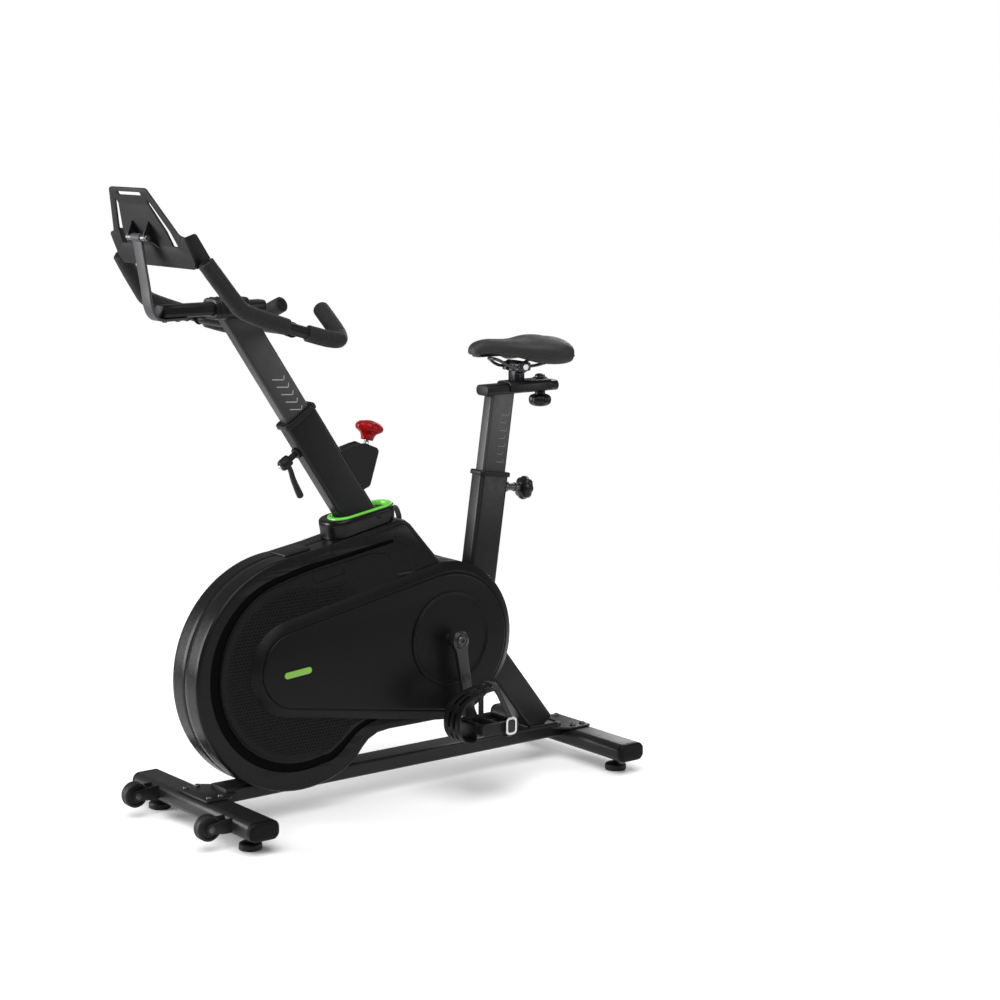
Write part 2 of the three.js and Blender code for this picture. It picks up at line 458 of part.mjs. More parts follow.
// ----- clamp lever in front of the head tube: local +Z is the stud's axis, pointing away from the tube
const LEVER = { s: -56, out: SLEEVE_W / 2 };
const leverPos = (() => {
  const t = new THREE.Vector3(Math.sin(rad(HEAD.lean)), 0, Math.cos(rad(HEAD.lean)));
  const n = new THREE.Vector3(-t.z, 0, t.x);
  return new THREE.Vector3(HEAD.x, 0, HEAD.z).addScaledVector(t, LEVER.s).addScaledVector(n, LEVER.out);
})();
add('clamp_lever', join(
  turnZ([[0, GAP], [11, GAP], [11, 6], [6, 7], [6, 22], [11, 23], [12, 44], [9, 47], [0, 47]], 16),
  sweep([[0, 0, 33], [-16, 0, 32], [-40, 0, 38], [-80, 0, 44]], 6.5, 7, 8)), FACE);
{
  const m = bike.children.find((c) => c.name === 'clamp_lever');
  m.position.copy(leverPos);
  m.rotation.y = rad(HEAD.lean - 90);
}

// ----- handlebar post with the slider's collar on top
const postLen = Math.hypot(-455 + 315, 979 - 785);
const headPost = slab(roundRect(POST_W, POST_D, 6), -170, postLen + 24);
const cradle = box(-514, -440, -27, 27, SLIDER_Z - 20, SLIDER_Z + 20);
let handlePost = cut(join(
  cut(placed(headPost, HEAD.x, 0, HEAD.z, HEAD.lean), box(-600, -300, -60, 60, SLIDER_Z - 14, SLIDER_Z + 90)),
  prism([[-514, 988], [-508, 988], [-440, 988], [-440, 1022], [-446, 1028], [-508, 1028], [-514, 1022]], -27, 27)),
  placed(new THREE.ExtrudeGeometry(toShape(roundRect(25.8, 41, 11, 4)), { depth: 120, bevelEnabled: false }), -530, 0, SLIDER_Z, 90));
add('handlebar_post', handlePost, PAINT);

// ----- handlebar: slider tube, cross bar and two bars with horns and turned-in ends
const barPath = [
  [-616, -156, 1109], [-590, -164, 1071], [-565, -171, 1036], [-556, -173.5, 1024], [-545, -175, 1015.5], [-530, -175.5, 1009], [-506, -175, 1000],
  [-470, -177, 988], [-435, -179, 976], [-400, -182, 965.5], [-372, -184.5, 957.5], [-356, -185, 954.5], [-343, -180, 954], [-334, -168, 957.5], [-327, -150, 965.5], [-318, -110, 983.5], [-309, -67, 1003],
];
const bareBar = (mirror) => {
  const g = sweep(barPath, 11.5, 24, 8);
  return mirror ? mirrorY(g) : g;
};
const sliderTube = placed(new THREE.ExtrudeGeometry(toShape(roundRect(25, 40, 10.5, 4)), { depth: 221.5, bevelEnabled: false }), -621.5, 0, SLIDER_Z, 90);
add('handlebar', join(
  sliderTube,
  sweep([[-438, -178, 977], [-436, -155, 975], [-420, -125, 971], [-395, -88, 967], [-381, -50, 966], [-380, 0, 966], [-381, 50, 966], [-395, 88, 967], [-420, 125, 971], [-436, 155, 975], [-438, 178, 977]], 11.5, 14, 8),
  prism([[-414, 998], [-401, 998], [-376, 972], [-384, 964]], -12, 12),
  bareBar(false), bareBar(true)), PAINT);
const gripShape = (t0, t1, steps) => cut(sweep(part(barPath, t0, t1), 16, steps, 10), sweep(barPath, 12, 24, 8));
const hornGrip = gripShape(0.004, 0.47, 9), rearGrip = gripShape(0.556, 0.996, 11);
add('left_front_grip', hornGrip, RUBBER);
add('right_front_grip', mirrorY(hornGrip), RUBBER);
add('left_rear_grip', rearGrip, RUBBER);
add('right_rear_grip', mirrorY(rearGrip), RUBBER);

// ----- tray arm and tilting tray
const armLine = [[-664, 1140], [-657, 1095], [-650, 1052], [-648, 1034], [-645, 1018], [-640, 1005], [-632, 996], [-622, 992.7], [-600, 992.7], [-570, 992.7]];
add('tray_arm', cut(join(prism(strip(armLine, 5), -14, 14), rodY(TRAY_PIVOT.x, TRAY_PIVOT.z, 8, -14, 14, 16)),
  rodY(TRAY_PIVOT.x, TRAY_PIVOT.z, 4.5, -20, 20, 12)), PAINT);
// drawn about the pivot: local +Z up the plate, local +X towards the rider
const plateX0 = 17, plateX1 = 21;
const halfPlate = [[67, 92], [120, 0], [138, -4], [141, -52], [131, -67]];
const plateOutline = [...halfPlate, ...halfPlate.slice().reverse().map(([y, z]) => [-y, z])].reverse();
const trayPlate = new THREE.ExtrudeGeometry(toShape(plateOutline, [
  [[-45, 78.5], [45, 78.5], [45, 85], [-45, 85]],
  [[-62, 70], [-68, 62], [-95, 10], [-102, -10], [-90, -10], [-85, 8], [-60, 64]],
  [[62, 70], [60, 64], [85, 8], [90, -10], [102, -10], [95, 10], [68, 62]],
]), { depth: plateX1 - plateX0, bevelEnabled: false })
  .applyMatrix4(new THREE.Matrix4().makeBasis(new THREE.Vector3(0, 1, 0), new THREE.Vector3(0, 0, 1), new THREE.Vector3(1, 0, 0)))
  .translate(plateX0, 0, 0);
at(add('tray', join(trayPlate,
  box(plateX1 - 1, plateX1 + 32, -128, 128, -67, -63),
  box(plateX1 + 28.5, plateX1 + 32, -128, 128, -66, -50),
  box(plateX1 - 1, plateX1 + 30, -137, -133.5, -64, -6), box(plateX1 - 1, plateX1 + 30, 133.5, 137, -64, -6),
  prism([[plateX0 + 1, 26], [-4, 6], [-7, 0], [-4, -6], [plateX0 + 1, -22]], -20, -15.5),
  prism([[plateX0 + 1, 26], [-4, 6], [-7, 0], [-4, -6], [plateX0 + 1, -22]], 15.5, 20),
  rodY(0, 0, 4, -24, 24, 12)), FACE), TRAY_PIVOT.x, 0, TRAY_PIVOT.z, TRAY_PIVOT.lean);

// ----- seat post with its flat oval slider tube on top
const seatPostGeo = (() => {
  const top = (SEAT_SLIDER.z - 4 - SEAT.z) / Math.cos(rad(SEAT.lean));
  const post = placed(slab(roundRect(POST_W, POST_D, 6), -150, top + 6), SEAT.x, 0, SEAT.z, SEAT.lean);
  const oval = placed(new THREE.ExtrudeGeometry(toShape(roundRect(22, 42, 10.5, 4)), { depth: SEAT_SLIDER.x1 - SEAT_SLIDER.x0, bevelEnabled: false }), SEAT_SLIDER.x0, 0, SEAT_SLIDER.z, 90);
  const slot = box(222, 310, -4.8, 4.8, 780, 830);
  return cut(join(cut(post, box(100, 300, -60, 60, SEAT_SLIDER.z, 900)), oval), slot);
})();
add('seat_post', seatPostGeo, PAINT);

// ----- seat carriage: channel over the slider, saddle stem, domed nut over the knob's bolt
const BOLT_X = 284, CLAMP = { x: 221, z: 851 };
const channel = new THREE.ExtrudeGeometry(toShape([[-25, 800], [-21.6, 800], [-21.6, 817.6], [21.6, 817.6], [21.6, 800], [25, 800], [25, 817], [21, 821.6], [-21, 821.6], [-25, 817]]), { depth: 109, bevelEnabled: false })
  .applyMatrix4(new THREE.Matrix4().makeBasis(new THREE.Vector3(0, 1, 0), new THREE.Vector3(0, 0, 1), new THREE.Vector3(1, 0, 0)))
  .translate(188, 0, 0);
add('seat_carriage', cut(join(channel,
  rodZ(CLAMP.x, 0, 13, 820, 833, 16),
  prism([[CLAMP.x - 13, 828], [CLAMP.x + 13, 828], [CLAMP.x + 13, 838], ...arc(CLAMP.x, CLAMP.z, 15, -35, -145, 6), [CLAMP.x - 13, 838]], -11, 11),
  turnZ([[0, 0], [12, 0], [12, 3], [7, 6], [7, 9], [5, 11.5], [0, 12]], 16).translate(BOLT_X, 0, 820.5)),
  rodZ(BOLT_X, 0, 4.4, 790, 828, 14),
  rodY(CLAMP.x, CLAMP.z, 12.4, -30, 30, 20)), PAINT);
at(add('seat_slider_knob', turnZ([[0, -44], [14, -43], [22, -38], [24, -30], [24, -26], [20, -20], [11, -18], [11, -12.3], [4, -12.3], [4, 19], [0, 19]], 14), FACE), BOLT_X, 0, SEAT_SLIDER.z);

// ----- saddle, its wire rails and the tilting clamp
function saddleGeo() {
  // stations along x: [x, centre z, half width, half height up, half height down]
  const st = [[102, 889, 8, 5, 4], [105, 889, 16, 11, 9], [114, 890, 20, 18, 11], [140, 893, 24, 20, 14], [172, 893, 31, 19, 21], [204, 892, 45, 18, 30], [232, 891, 63, 20, 43],
    [258, 891, 80, 23, 46], [284, 890, 87, 24, 44], [308, 888, 83, 23, 37], [321, 886, 70, 19, 28], [328, 885, 52, 13, 18], [330, 885, 42, 7, 11]];
  const n = 16;
  return loft(st.map(([x, z, w, up, dn]) => Array.from({ length: n }, (_, i) => {
    const a = (2 * Math.PI * i) / n, c = Math.cos(a), s = Math.sin(a);
    const e = 0.72;
    const y = w * Math.sign(c) * Math.abs(c) ** e;
    const side = Math.abs(y) / w;
    return [x, y, z + (s > 0 ? up : dn) * Math.sign(s) * Math.abs(s) ** e - 9 * side * side * (w / 90)];
  })));
}
const saddleTop = cut(saddleGeo(), prism([[150, 874.5], [172, 872.5], [262, 868], [306, 868], [306, 800], [150, 800]], -50, 50));
add('saddle', saddleTop, { color: 0x121213, roughness: 0.6, metalness: 0 });
const railSide = (s) => sweep([[154, 0, 871.2], [156.5, s * 10, 870.5], [166, s * 17, 866], [180, s * 20.5, 857.5], [193, s * 21.5, 852.4], [206, s * 21.5, 851], [238, s * 21.5, 851], [254, s * 23, 852], [276, s * 30, 857], [298, s * 37, 863.5]], 3.3, 10, 6);
add('saddle_rails', join(railSide(-1), railSide(1),
  rodY(CLAMP.x, CLAMP.z, 12, -29, 29, 20),
  box(CLAMP.x - 17, CLAMP.x + 17, -27, -13.5, CLAMP.z - 9, CLAMP.z + 9), box(CLAMP.x - 17, CLAMP.x + 17, 13.5, 27, CLAMP.z - 9, CLAMP.z + 9)), STEEL);

// ----- pull pin behind the seat tube: local +Z points away from the tube
const pinPos = (() => {
  const t = new THREE.Vector3(Math.sin(rad(SEAT.lean)), 0, Math.cos(rad(SEAT.lean)));
  const n = new THREE.Vector3(t.z, 0, -t.x);
  return new THREE.Vector3(SEAT.x, 0, SEAT.z).addScaledVector(t, -21).addScaledVector(n, (SLEEVE_W - 4) / 2);
})();
const pinMesh = add('seat_pin_knob', turnZ([[0, GAP], [11, GAP], [12, 4], [9, 12], [8, 16], [8, 44], [14, 47], [22, 50], [25, 55], [25, 62], [22, 67], [12, 70], [0, 71]], 16), FACE);
pinMesh.position.copy(pinPos);
pinMesh.rotation.y = rad(SEAT.lean + 90);

export default group;
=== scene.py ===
# Indoor spin bike: the looks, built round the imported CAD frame.  Drawing units are millimetres with
# the crank axis over x = 0; P() turns them into the row's metres.
import bpy, bmesh, math
from mathutils import Vector, Matrix
from mathutils.geometry import tessellate_polygon


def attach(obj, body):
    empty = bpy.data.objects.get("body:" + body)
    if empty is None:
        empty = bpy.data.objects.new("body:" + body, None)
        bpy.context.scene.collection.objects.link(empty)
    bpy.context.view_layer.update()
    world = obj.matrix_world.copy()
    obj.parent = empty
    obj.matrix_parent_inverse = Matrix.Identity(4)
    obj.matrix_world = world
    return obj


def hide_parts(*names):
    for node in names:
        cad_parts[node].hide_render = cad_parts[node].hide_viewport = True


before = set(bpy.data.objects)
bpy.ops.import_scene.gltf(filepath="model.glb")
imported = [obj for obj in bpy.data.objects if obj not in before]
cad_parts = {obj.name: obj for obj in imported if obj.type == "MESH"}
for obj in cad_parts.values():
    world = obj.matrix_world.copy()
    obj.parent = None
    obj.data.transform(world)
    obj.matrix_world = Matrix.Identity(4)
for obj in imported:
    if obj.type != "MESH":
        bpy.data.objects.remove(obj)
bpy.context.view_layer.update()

OX = 148.865
rad = math.radians
S = math.sin
C = math.cos
COL = bpy.context.scene.collection


def P(p):
    return ((p[0] + OX) / 1000, p[1] / 1000, p[2] / 1000)


# ------------------------------------------------------------------ materials
def nodes_of(name):
    m = bpy.data.materials.new(name)
    m.use_nodes = True
    nt = m.node_tree
    b = nt.nodes["Principled BSDF"]
    return m, nt, b


def link(nt, a, b):
    nt.links.new(a, b)


def math_node(nt, op, a, b=None, c=None):
    n = nt.nodes.new("ShaderNodeMath")
    n.operation = op
    for i, v in enumerate((a, b, c)):
        if v is None:
            continue
        if isinstance(v, (int, float)):
            n.inputs[i].default_value = v
        else:
            nt.links.new(v, n.inputs[i])
    return n.outputs[0]


def coords(nt, scale=(1, 1, 1), rot=(0, 0, 0)):
    tc = nt.nodes.new("ShaderNodeTexCoord")
    mp = nt.nodes.new("ShaderNodeMapping")
    mp.inputs["Scale"].default_value = scale
    mp.inputs["Rotation"].default_value = rot
    nt.links.new(tc.outputs["Object"], mp.inputs["Vector"])
    return mp.outputs[0]


def noise(nt, vec, scale, detail=3, rough=0.5):
    n = nt.nodes.new("ShaderNodeTexNoise")
    n.inputs["Scale"].default_value = scale
    n.inputs["Detail"].default_value = detail
    n.inputs["Roughness"].default_value = rough
    nt.links.new(vec, n.inputs["Vector"])
    return n.outputs["Fac"]


def spread(nt, fac, lo, hi, a=0.3, b=0.7):
    n = nt.nodes.new("ShaderNodeMapRange")
    n.inputs["From Min"].default_value = a
    n.inputs["From Max"].default_value = b
    n.inputs["To Min"].default_value = lo
    n.inputs["To Max"].default_value = hi
    nt.links.new(fac, n.inputs["Value"])
    return n.outputs[0]


def mixed(nt, fac, c1, c2):
    n = nt.nodes.new("ShaderNodeMix")
    n.data_type = "RGBA"
    nt.links.new(fac, n.inputs["Factor"])
    n.inputs["A"].default_value = (*c1, 1)
    n.inputs["B"].default_value = (*c2, 1)
    return n.outputs["Result"]


def bump(nt, bsdf, height, dist, strength=1.0, after=None):
    n = nt.nodes.new("ShaderNodeBump")
    n.inputs["Distance"].default_value = dist
    n.inputs["Strength"].default_value = strength
    nt.links.new(height, n.inputs["Height"])
    if after is not None:
        nt.links.new(after, n.inputs["Normal"])
    nt.links.new(n.outputs[0], bsdf.inputs["Normal"])
    return n.outputs[0]


def basic(name, colour, rough, metal=0.0, grain=900, depth=0.00006, vary=0.18, cloud=7, coat=0.0, coat_rough=0.2, spec=0.5, stretch=(1, 1, 1), rspan=0.05):
    m, nt, b = nodes_of(name)
    v = coords(nt, stretch)
    big = noise(nt, coords(nt), cloud, 4, 0.6)
    fine = noise(nt, v, grain, 2, 0.6)
    lo = tuple(c * (1 - vary) for c in colour)
    hi = tuple(min(1, c * (1 + vary)) for c in colour)
    link(nt, mixed(nt, big, lo, hi), b.inputs["Base Color"])
    mid = noise(nt, v, grain / 12, 4, 0.65)
    link(nt, spread(nt, mid, rough - rspan, rough + rspan), b.inputs["Roughness"])
    b.inputs["Metallic"].default_value = metal
    b.inputs["Specular IOR Level"].default_value = spec
    b.inputs["Coat Weight"].default_value = coat
    b.inputs["Coat Roughness"].default_value = coat_rough
    if depth:
        bump(nt, b, fine, depth)
    return m


M = {}
M["paint"] = basic("satin_powder_coat", (0.0090, 0.0090, 0.0096), 0.36, 0.0, 700, 0.00004, 0.12, 6, spec=0.22)
M["shell"] = basic("casing_gloss", (0.0050, 0.0051, 0.0056), 0.30, 0.0, 1400, 0.00002, 0.10, 5, spec=0.15)
M["collar"] = basic("collar_gloss", (0.0050, 0.0040, 0.0042), 0.24, 0.0, 1400, 0.00001, 0.10, 5, spec=0.20)
# near-black for thin sheets laid in the casing groove and behind the pedal cage's openings: painted shade
M["painted_shade"] = basic("painted_shade_black", (0.0012, 0.0012, 0.0013), 0.6, 0.0, 1400, 0.00002, 0.10, 5, spec=0.03)
M["arm"] = basic("arm_satin", (0.060, 0.060, 0.064), 0.45, 0.0, 700, 0.00004, 0.10, 6, spec=0.25)
M["cap"] = basic("cap_moulding", (0.0030, 0.0030, 0.0032), 0.45, 0.0, 1300, 0.00005, 0.15, 9, spec=0.10)
M["tray"] = basic("tray_moulding", (0.014, 0.014, 0.0145), 0.5, 0.0, 1300, 0.00006, 0.15, 9, spec=0.22)
M["post"] = basic("post_satin", (0.0330, 0.0332, 0.0340), 0.36, 0.0, 700, 0.00004, 0.10, 6, spec=0.30)
M["cover"] = basic("cover_satin", (0.0050, 0.0051, 0.0055), 0.36, 0.0, 1500, 0.00003, 0.08, 5, spec=0.11)
M["moulded"] = basic("matte_moulding", (0.0060, 0.0060, 0.0064), 0.45, 0.0, 1300, 0.00005, 0.15, 9, spec=0.22)
M["knob"] = basic("knob_moulding", (0.0055, 0.0055, 0.0060), 0.34, 0.0, 1300, 0.00003, 0.12, 20, spec=0.28)
M["red"] = basic("red_gloss", (0.25, 0.0015, 0.0015), 0.28, 0.0, 900, 0.00002, 0.10, 30, spec=0.16)
M["steel"] = basic("zinc_plate", (0.60, 0.61, 0.63), 0.30, 1.0, 1500, 0.00002, 0.10, 40, stretch=(1, 6, 1))
M["dark_steel"] = basic("blackened_steel", (0.075, 0.075, 0.08), 0.36, 0.8, 1200, 0.00003, 0.2, 40)
M["crank"] = basic("crank_paint", (0.012, 0.012, 0.013), 0.30, 0.0, 800, 0.00003, 0.12, 30, spec=0.4)
M["iron"] = basic("turned_iron", (0.17, 0.17, 0.18), 0.42, 0.9, 500, 0.00005, 0.2, 20)
M["pin"] = basic("pin_steel", (0.20, 0.20, 0.21), 0.42, 1.0, 1500, 0.00002, 0.10, 40)
M["alloy"] = basic("cast_alloy", (0.55, 0.56, 0.58), 0.38, 1.0, 700, 0.00006, 0.12, 20)
M["rubber"] = basic("soft_rubber", (0.0050, 0.0050, 0.0054), 0.50, 0.0, 900, 0.00008, 0.2, 30, spec=0.25)
# a dimmer grey than the printed marks, used for the seat post's scale marks
M["mark_faint"] = basic("dim_scale_mark", (0.15, 0.15, 0.155), 0.5, 0.0, 900, 0.0, 0.08, 60)
M["mark"] = basic("printed_mark", (0.42, 0.42, 0.43), 0.5, 0.0, 900, 0.0, 0.08, 60)
M["felt"] = basic("felt", (0.30, 0.27, 0.22), 0.95, 0.0, 1500, 0.0004, 0.2, 60, spec=0.1)


def green(name, colour, glow):
    m, nt, b = nodes_of(name)
    v = coords(nt)
    col = mixed(nt, noise(nt, v, 60, 2), tuple(c * 0.92 for c in colour), tuple(min(1, c * 1.08) for c in colour))
    link(nt, col, b.inputs["Base Color"])
    link(nt, col, b.inputs["Emission Color"])
    b.inputs["Emission Strength"].default_value = glow
    b.inputs["Roughness"].default_value = 0.3
    return m


# the trim ring is given a faint green glow though it is no lamp: painted light
M["green"] = green("green_trim", (0.12, 0.50, 0.05), 0.30)
M["lens"] = green("green_lens", (0.14, 0.30, 0.034), 0.30)


def panel_material():
    # rows of small round studs, staggered, over a fine grain; each stud's hollow is painted near-black as well as sunk
    # by the bump: painted shade
    m, nt, b = nodes_of("studded_panel")
    tc = nt.nodes.new("ShaderNodeTexCoord")
    sp = nt.nodes.new("ShaderNodeSeparateXYZ")
    link(nt, tc.outputs["Object"], sp.inputs[0])
    pitch = 0.0076
    u = math_node(nt, "DIVIDE", sp.outputs["X"], pitch)
    v = math_node(nt, "DIVIDE", sp.outputs["Z"], pitch * 0.866)
    row = math_node(nt, "FLOOR", v)
    odd = math_node(nt, "MULTIPLY", math_node(nt, "MODULO", math_node(nt, "ADD", row, 1000.0), 2.0), 0.5)
    du = math_node(nt, "SUBTRACT", math_node(nt, "FRACT", math_node(nt, "ADD", u, odd)), 0.5)
    dv = math_node(nt, "MULTIPLY", math_node(nt, "SUBTRACT", math_node(nt, "FRACT", v), 0.5), 0.866)
    d = math_node(nt, "SQRT", math_node(nt, "ADD", math_node(nt, "MULTIPLY", du, du), math_node(nt, "MULTIPLY", dv, dv)))
    h = nt.nodes.new("ShaderNodeMapRange")
    h.interpolation_type = "SMOOTHSTEP"
    h.inputs["From Min"].default_value = 0.18
    h.inputs["From Max"].default_value = 0.42
    h.inputs["To Min"].default_value = 0.0
    h.inputs["To Max"].default_value = 1.0
    link(nt, d, h.inputs["Value"])
    def ramp(src, a, b):
        r = nt.nodes.new("ShaderNodeMapRange")
        r.interpolation_type = "SMOOTHSTEP"
        r.inputs["From Min"].default_value = a
        r.inputs["From Max"].default_value = b
        link(nt, src, r.inputs["Value"])
        return r.outputs[0]
    ox = OX / 1000
    px = math_node(nt, "SUBTRACT", sp.outputs["X"], -0.354 + ox)
    pz = math_node(nt, "SUBTRACT", sp.outputs["Z"], 0.292)
    rr_ = math_node(nt, "SQRT", math_node(nt, "ADD", math_node(nt, "MULTIPLY", px, px), math_node(nt, "MULTIPLY", pz, pz)))
    rim_ = ramp(rr_, 0.176, 0.160)
    # along the top edge of the cover the studs run out before the tower
    far = ramp(math_node(nt, "ADD", px, math_node(nt, "MULTIPLY", pz, 0.35)), 0.215, 0.120)
    top_ = math_node(nt, "MAXIMUM", rim_, math_node(nt, "MULTIPLY", ramp(px, 0.02, 0.06), ramp(math_node(nt, "SUBTRACT", math_node(nt, "MULTIPLY", px, 0.17), pz), -0.165, -0.140)))
    fade = math_node(nt, "MULTIPLY", top_, far)
    height = math_node(nt, "ADD", math_node(nt, "MULTIPLY", h.outputs[0], fade), math_node(nt, "SUBTRACT", 1.0, fade))
    # near-black where the bump dips into each stud: painted shade in the hollows
    col = mixed(nt, height, (0.0003, 0.0003, 0.0003), (0.0054, 0.0055, 0.0059))
    b.inputs["Specular IOR Level"].default_value = 0.11
    link(nt, col, b.inputs["Base Color"])
    link(nt, spread(nt, noise(nt, coords(nt), 90, 3), 0.44, 0.56), b.inputs["Roughness"])
    first = bump(nt, b, noise(nt, coords(nt), 1500, 2), 0.00003)
    bump(nt, b, height, 0.0020, 1.0, first)
    return m


M["panel"] = panel_material()


def foam_material():
    m, nt, b = nodes_of("foam_grip")
    v = coords(nt)
    vor = nt.nodes.new("ShaderNodeTexVoronoi")
    vor.inputs["Scale"].default_value = 900
    link(nt, v, vor.inputs["Vector"])
    col = mixed(nt, noise(nt, v, 40, 4), (0.0050, 0.0050, 0.0054), (0.0090, 0.0090, 0.0095))
    link(nt, col, b.inputs["Base Color"])
    link(nt, spread(nt, noise(nt, v, 120, 3), 0.62, 0.78), b.inputs["Roughness"])
    b.inputs["Specular IOR Level"].default_value = 0.4
    first = bump(nt, b, vor.outputs["Distance"], 0.00025, 0.8)
    bump(nt, b, noise(nt, v, 220, 3), 0.0003, 0.6, first)
    return m


M["foam"] = foam_material()


def leather_material():
    m, nt, b = nodes_of("saddle_leather")
    v = coords(nt)
    vor = nt.nodes.new("ShaderNodeTexVoronoi")
    vor.feature = "DISTANCE_TO_EDGE"
    vor.inputs["Scale"].default_value = 520
    link(nt, v, vor.inputs["Vector"])
    col = mixed(nt, noise(nt, v, 18, 5), (0.0065, 0.0066, 0.0072), (0.0115, 0.0115, 0.0125))
    link(nt, col, b.inputs["Base Color"])
    link(nt, spread(nt, noise(nt, v, 70, 4), 0.46, 0.62), b.inputs["Roughness"])
    cells = spread(nt, vor.outputs["Distance"], 0.0, 1.0, 0.0, 0.25)
    first = bump(nt, b, cells, 0.00022, 0.8)
    bump(nt, b, noise(nt, v, 30, 3), 0.0008, 0.5, first)
    return m


M["leather"] = leather_material()


def strap_material():
    m, nt, b = nodes_of("woven_strap")
    v = coords(nt)
    w = nt.nodes.new("ShaderNodeTexWave")
    w.inputs["Scale"].default_value = 420
    w.inputs["Distortion"].default_value = 0.6
    link(nt, v, w.inputs["Vector"])
    col = mixed(nt, w.outputs["Fac"], (0.006, 0.006, 0.0065), (0.014, 0.014, 0.015))
    link(nt, col, b.inputs["Base Color"])
    b.inputs["Roughness"].default_value = 0.7
    bump(nt, b, w.outputs["Fac"], 0.0003, 0.8)
    return m


M["strap"] = strap_material()


# ------------------------------------------------------------------ geometry (millimetres)
def ax_y(x, z):
    return lambda u, v, w: (x + u, w, z + v)


def ax_z(x, y):
    return lambda u, v, w: (x + u, y + v, w)


def leaned(x, y, z, deg):
    c, s = C(rad(deg)), S(rad(deg))
    return lambda u, v, w: (x + u * c + w * s, y + v, z - u * s + w * c)


def ax_x(y, z):
    return lambda u, v, w: (w, y + u, z + v)


def side(u, v, w):
    return (u, w, v)


def ext(outline, w0, w1, to, holes=()):
    loops = [list(outline)] + [list(h) for h in holes]
    pts = [p for l in loops for p in l]
    n = len(pts)
    verts = [to(u, v, w0) for u, v in pts] + [to(u, v, w1) for u, v in pts]
    faces, k = [], 0
    for l in loops:
        m = len(l)
        for i in range(m):
            j = (i + 1) % m
            faces.append((k + i, k + j, n + k + j, n + k + i))
        k += m
    if holes:
        for t in tessellate_polygon([[Vector((u, v, 0)) for u, v in l] for l in loops]):
            faces.append(tuple(t))
            faces.append(tuple(n + i for i in t))
    else:
        faces += [tuple(range(n)), tuple(range(n, 2 * n))]
    return verts, faces


def prism(outline, y0, y1, holes=()):
    return ext(outline, y0, y1, side, holes)


def lathe(profile, n, to, closed=False):
    verts, faces, rows = [], [], []
    for r, h in profile:
        if r < 1e-6:
            rows.append([len(verts)])
            verts.append(to(0, 0, h))
        else:
            rows.append(list(range(len(verts), len(verts) + n)))
            verts += [to(r * C(2 * math.pi * i / n), r * S(2 * math.pi * i / n), h) for i in range(n)]
    pairs = list(zip(rows, rows[1:])) + ([(rows[-1], rows[0])] if closed else [])
    for a, b in pairs:
        if len(a) == 1 and len(b) == 1:
            continue
        for i in range(n):
            j = (i + 1) % n
            if len(a) == 1:
                faces.append((a[0], b[j], b[i]))
            elif len(b) == 1:
                faces.append((a[i], a[j], b[0]))
            else:
                faces.append((a[i], a[j], b[j], b[i]))
    return verts, faces


def loft(rings):
    n = len(rings[0])
    verts = [p for r in rings for p in r]
    faces = []
    for k in range(len(rings) - 1):
        for i in range(n):
            j = (i + 1) % n
            faces.append((k * n + i, k * n + j, (k + 1) * n + j, (k + 1) * n + i))
    faces.append(tuple(range(n)))
    faces.append(tuple(range((len(rings) - 1) * n, len(rings) * n)))
    return verts, faces


def rounded(poly, r, n=5, closed=True):
    out = []
    m = len(poly)
    for i, p in enumerate(poly):
        rr = r[i] if isinstance(r, (list, tuple)) else r
        if rr <= 0 or (not closed and i in (0, m - 1)):
            out.append(tuple(p))
            continue
        a, b = poly[i - 1], poly[(i + 1) % m]
        ua = (a[0] - p[0], a[1] - p[1])
        ub = (b[0] - p[0], b[1] - p[1])
        la, lb = math.hypot(*ua), math.hypot(*ub)
        if la < 1e-9 or lb < 1e-9:
            out.append(tuple(p))
            continue
        ua, ub = (ua[0] / la, ua[1] / la), (ub[0] / lb, ub[1] / lb)
        cosang = max(-1, min(1, ua[0] * ub[0] + ua[1] * ub[1]))
        half = math.acos(cosang) / 2
        if abs(half - math.pi / 2) < 0.02 or half < 0.02:
            out.append(tuple(p))
            continue
        t = min(rr / math.tan(half), 0.48 * la, 0.48 * lb)
        q = t * math.tan(half)
        bis = (ua[0] + ub[0], ua[1] + ub[1])
        lbis = math.hypot(*bis)
        cx = p[0] + bis[0] / lbis * q / S(half)
        cy = p[1] + bis[1] / lbis * q / S(half)
        s0 = (p[0] + ua[0] * t, p[1] + ua[1] * t)
        s1 = (p[0] + ub[0] * t, p[1] + ub[1] * t)
        a0 = math.atan2(s0[1] - cy, s0[0] - cx)
        a1 = math.atan2(s1[1] - cy, s1[0] - cx)
        d = (a1 - a0 + math.pi) % (2 * math.pi) - math.pi
        for k in range(n + 1):
            g = a0 + d * k / n
            out.append((cx + q * C(g), cy + q * S(g)))
    return out


def rrect(w, d, r, n=8, cx=0, cy=0):
    return rounded([(cx + w / 2, cy + d / 2), (cx - w / 2, cy + d / 2), (cx - w / 2, cy - d / 2), (cx + w / 2, cy - d / 2)], r, n)


def circ(r, n=48, cx=0, cy=0):
    return [(cx + r * C(2 * math.pi * i / n), cy + r * S(2 * math.pi * i / n)) for i in range(n)]


def arc(cx, cy, r, a0, a1, n):
    return [(cx + r * C(rad(a0 + (a1 - a0) * i / n)), cy + r * S(rad(a0 + (a1 - a0) * i / n))) for i in range(n + 1)]


def inset(poly, d):
    n = len(poly)
    out = []
    for i, p in enumerate(poly):
        a, b = poly[i - 1], poly[(i + 1) % n]
        lu = math.hypot(p[0] - a[0], p[1] - a[1])
        lv = math.hypot(b[0] - p[0], b[1] - p[1])
        nu = (-(p[1] - a[1]) / lu, (p[0] - a[0]) / lu)
        nv = (-(b[1] - p[1]) / lv, (b[0] - p[0]) / lv)
        k = d / max(0.35, 1 + nu[0] * nv[0] + nu[1] * nv[1])
        out.append((p[0] + (nu[0] + nv[0]) * k, p[1] + (nu[1] + nv[1]) * k))
    return out


def ring_y(poly, y):
    return [(x, y, z) for x, z in poly]


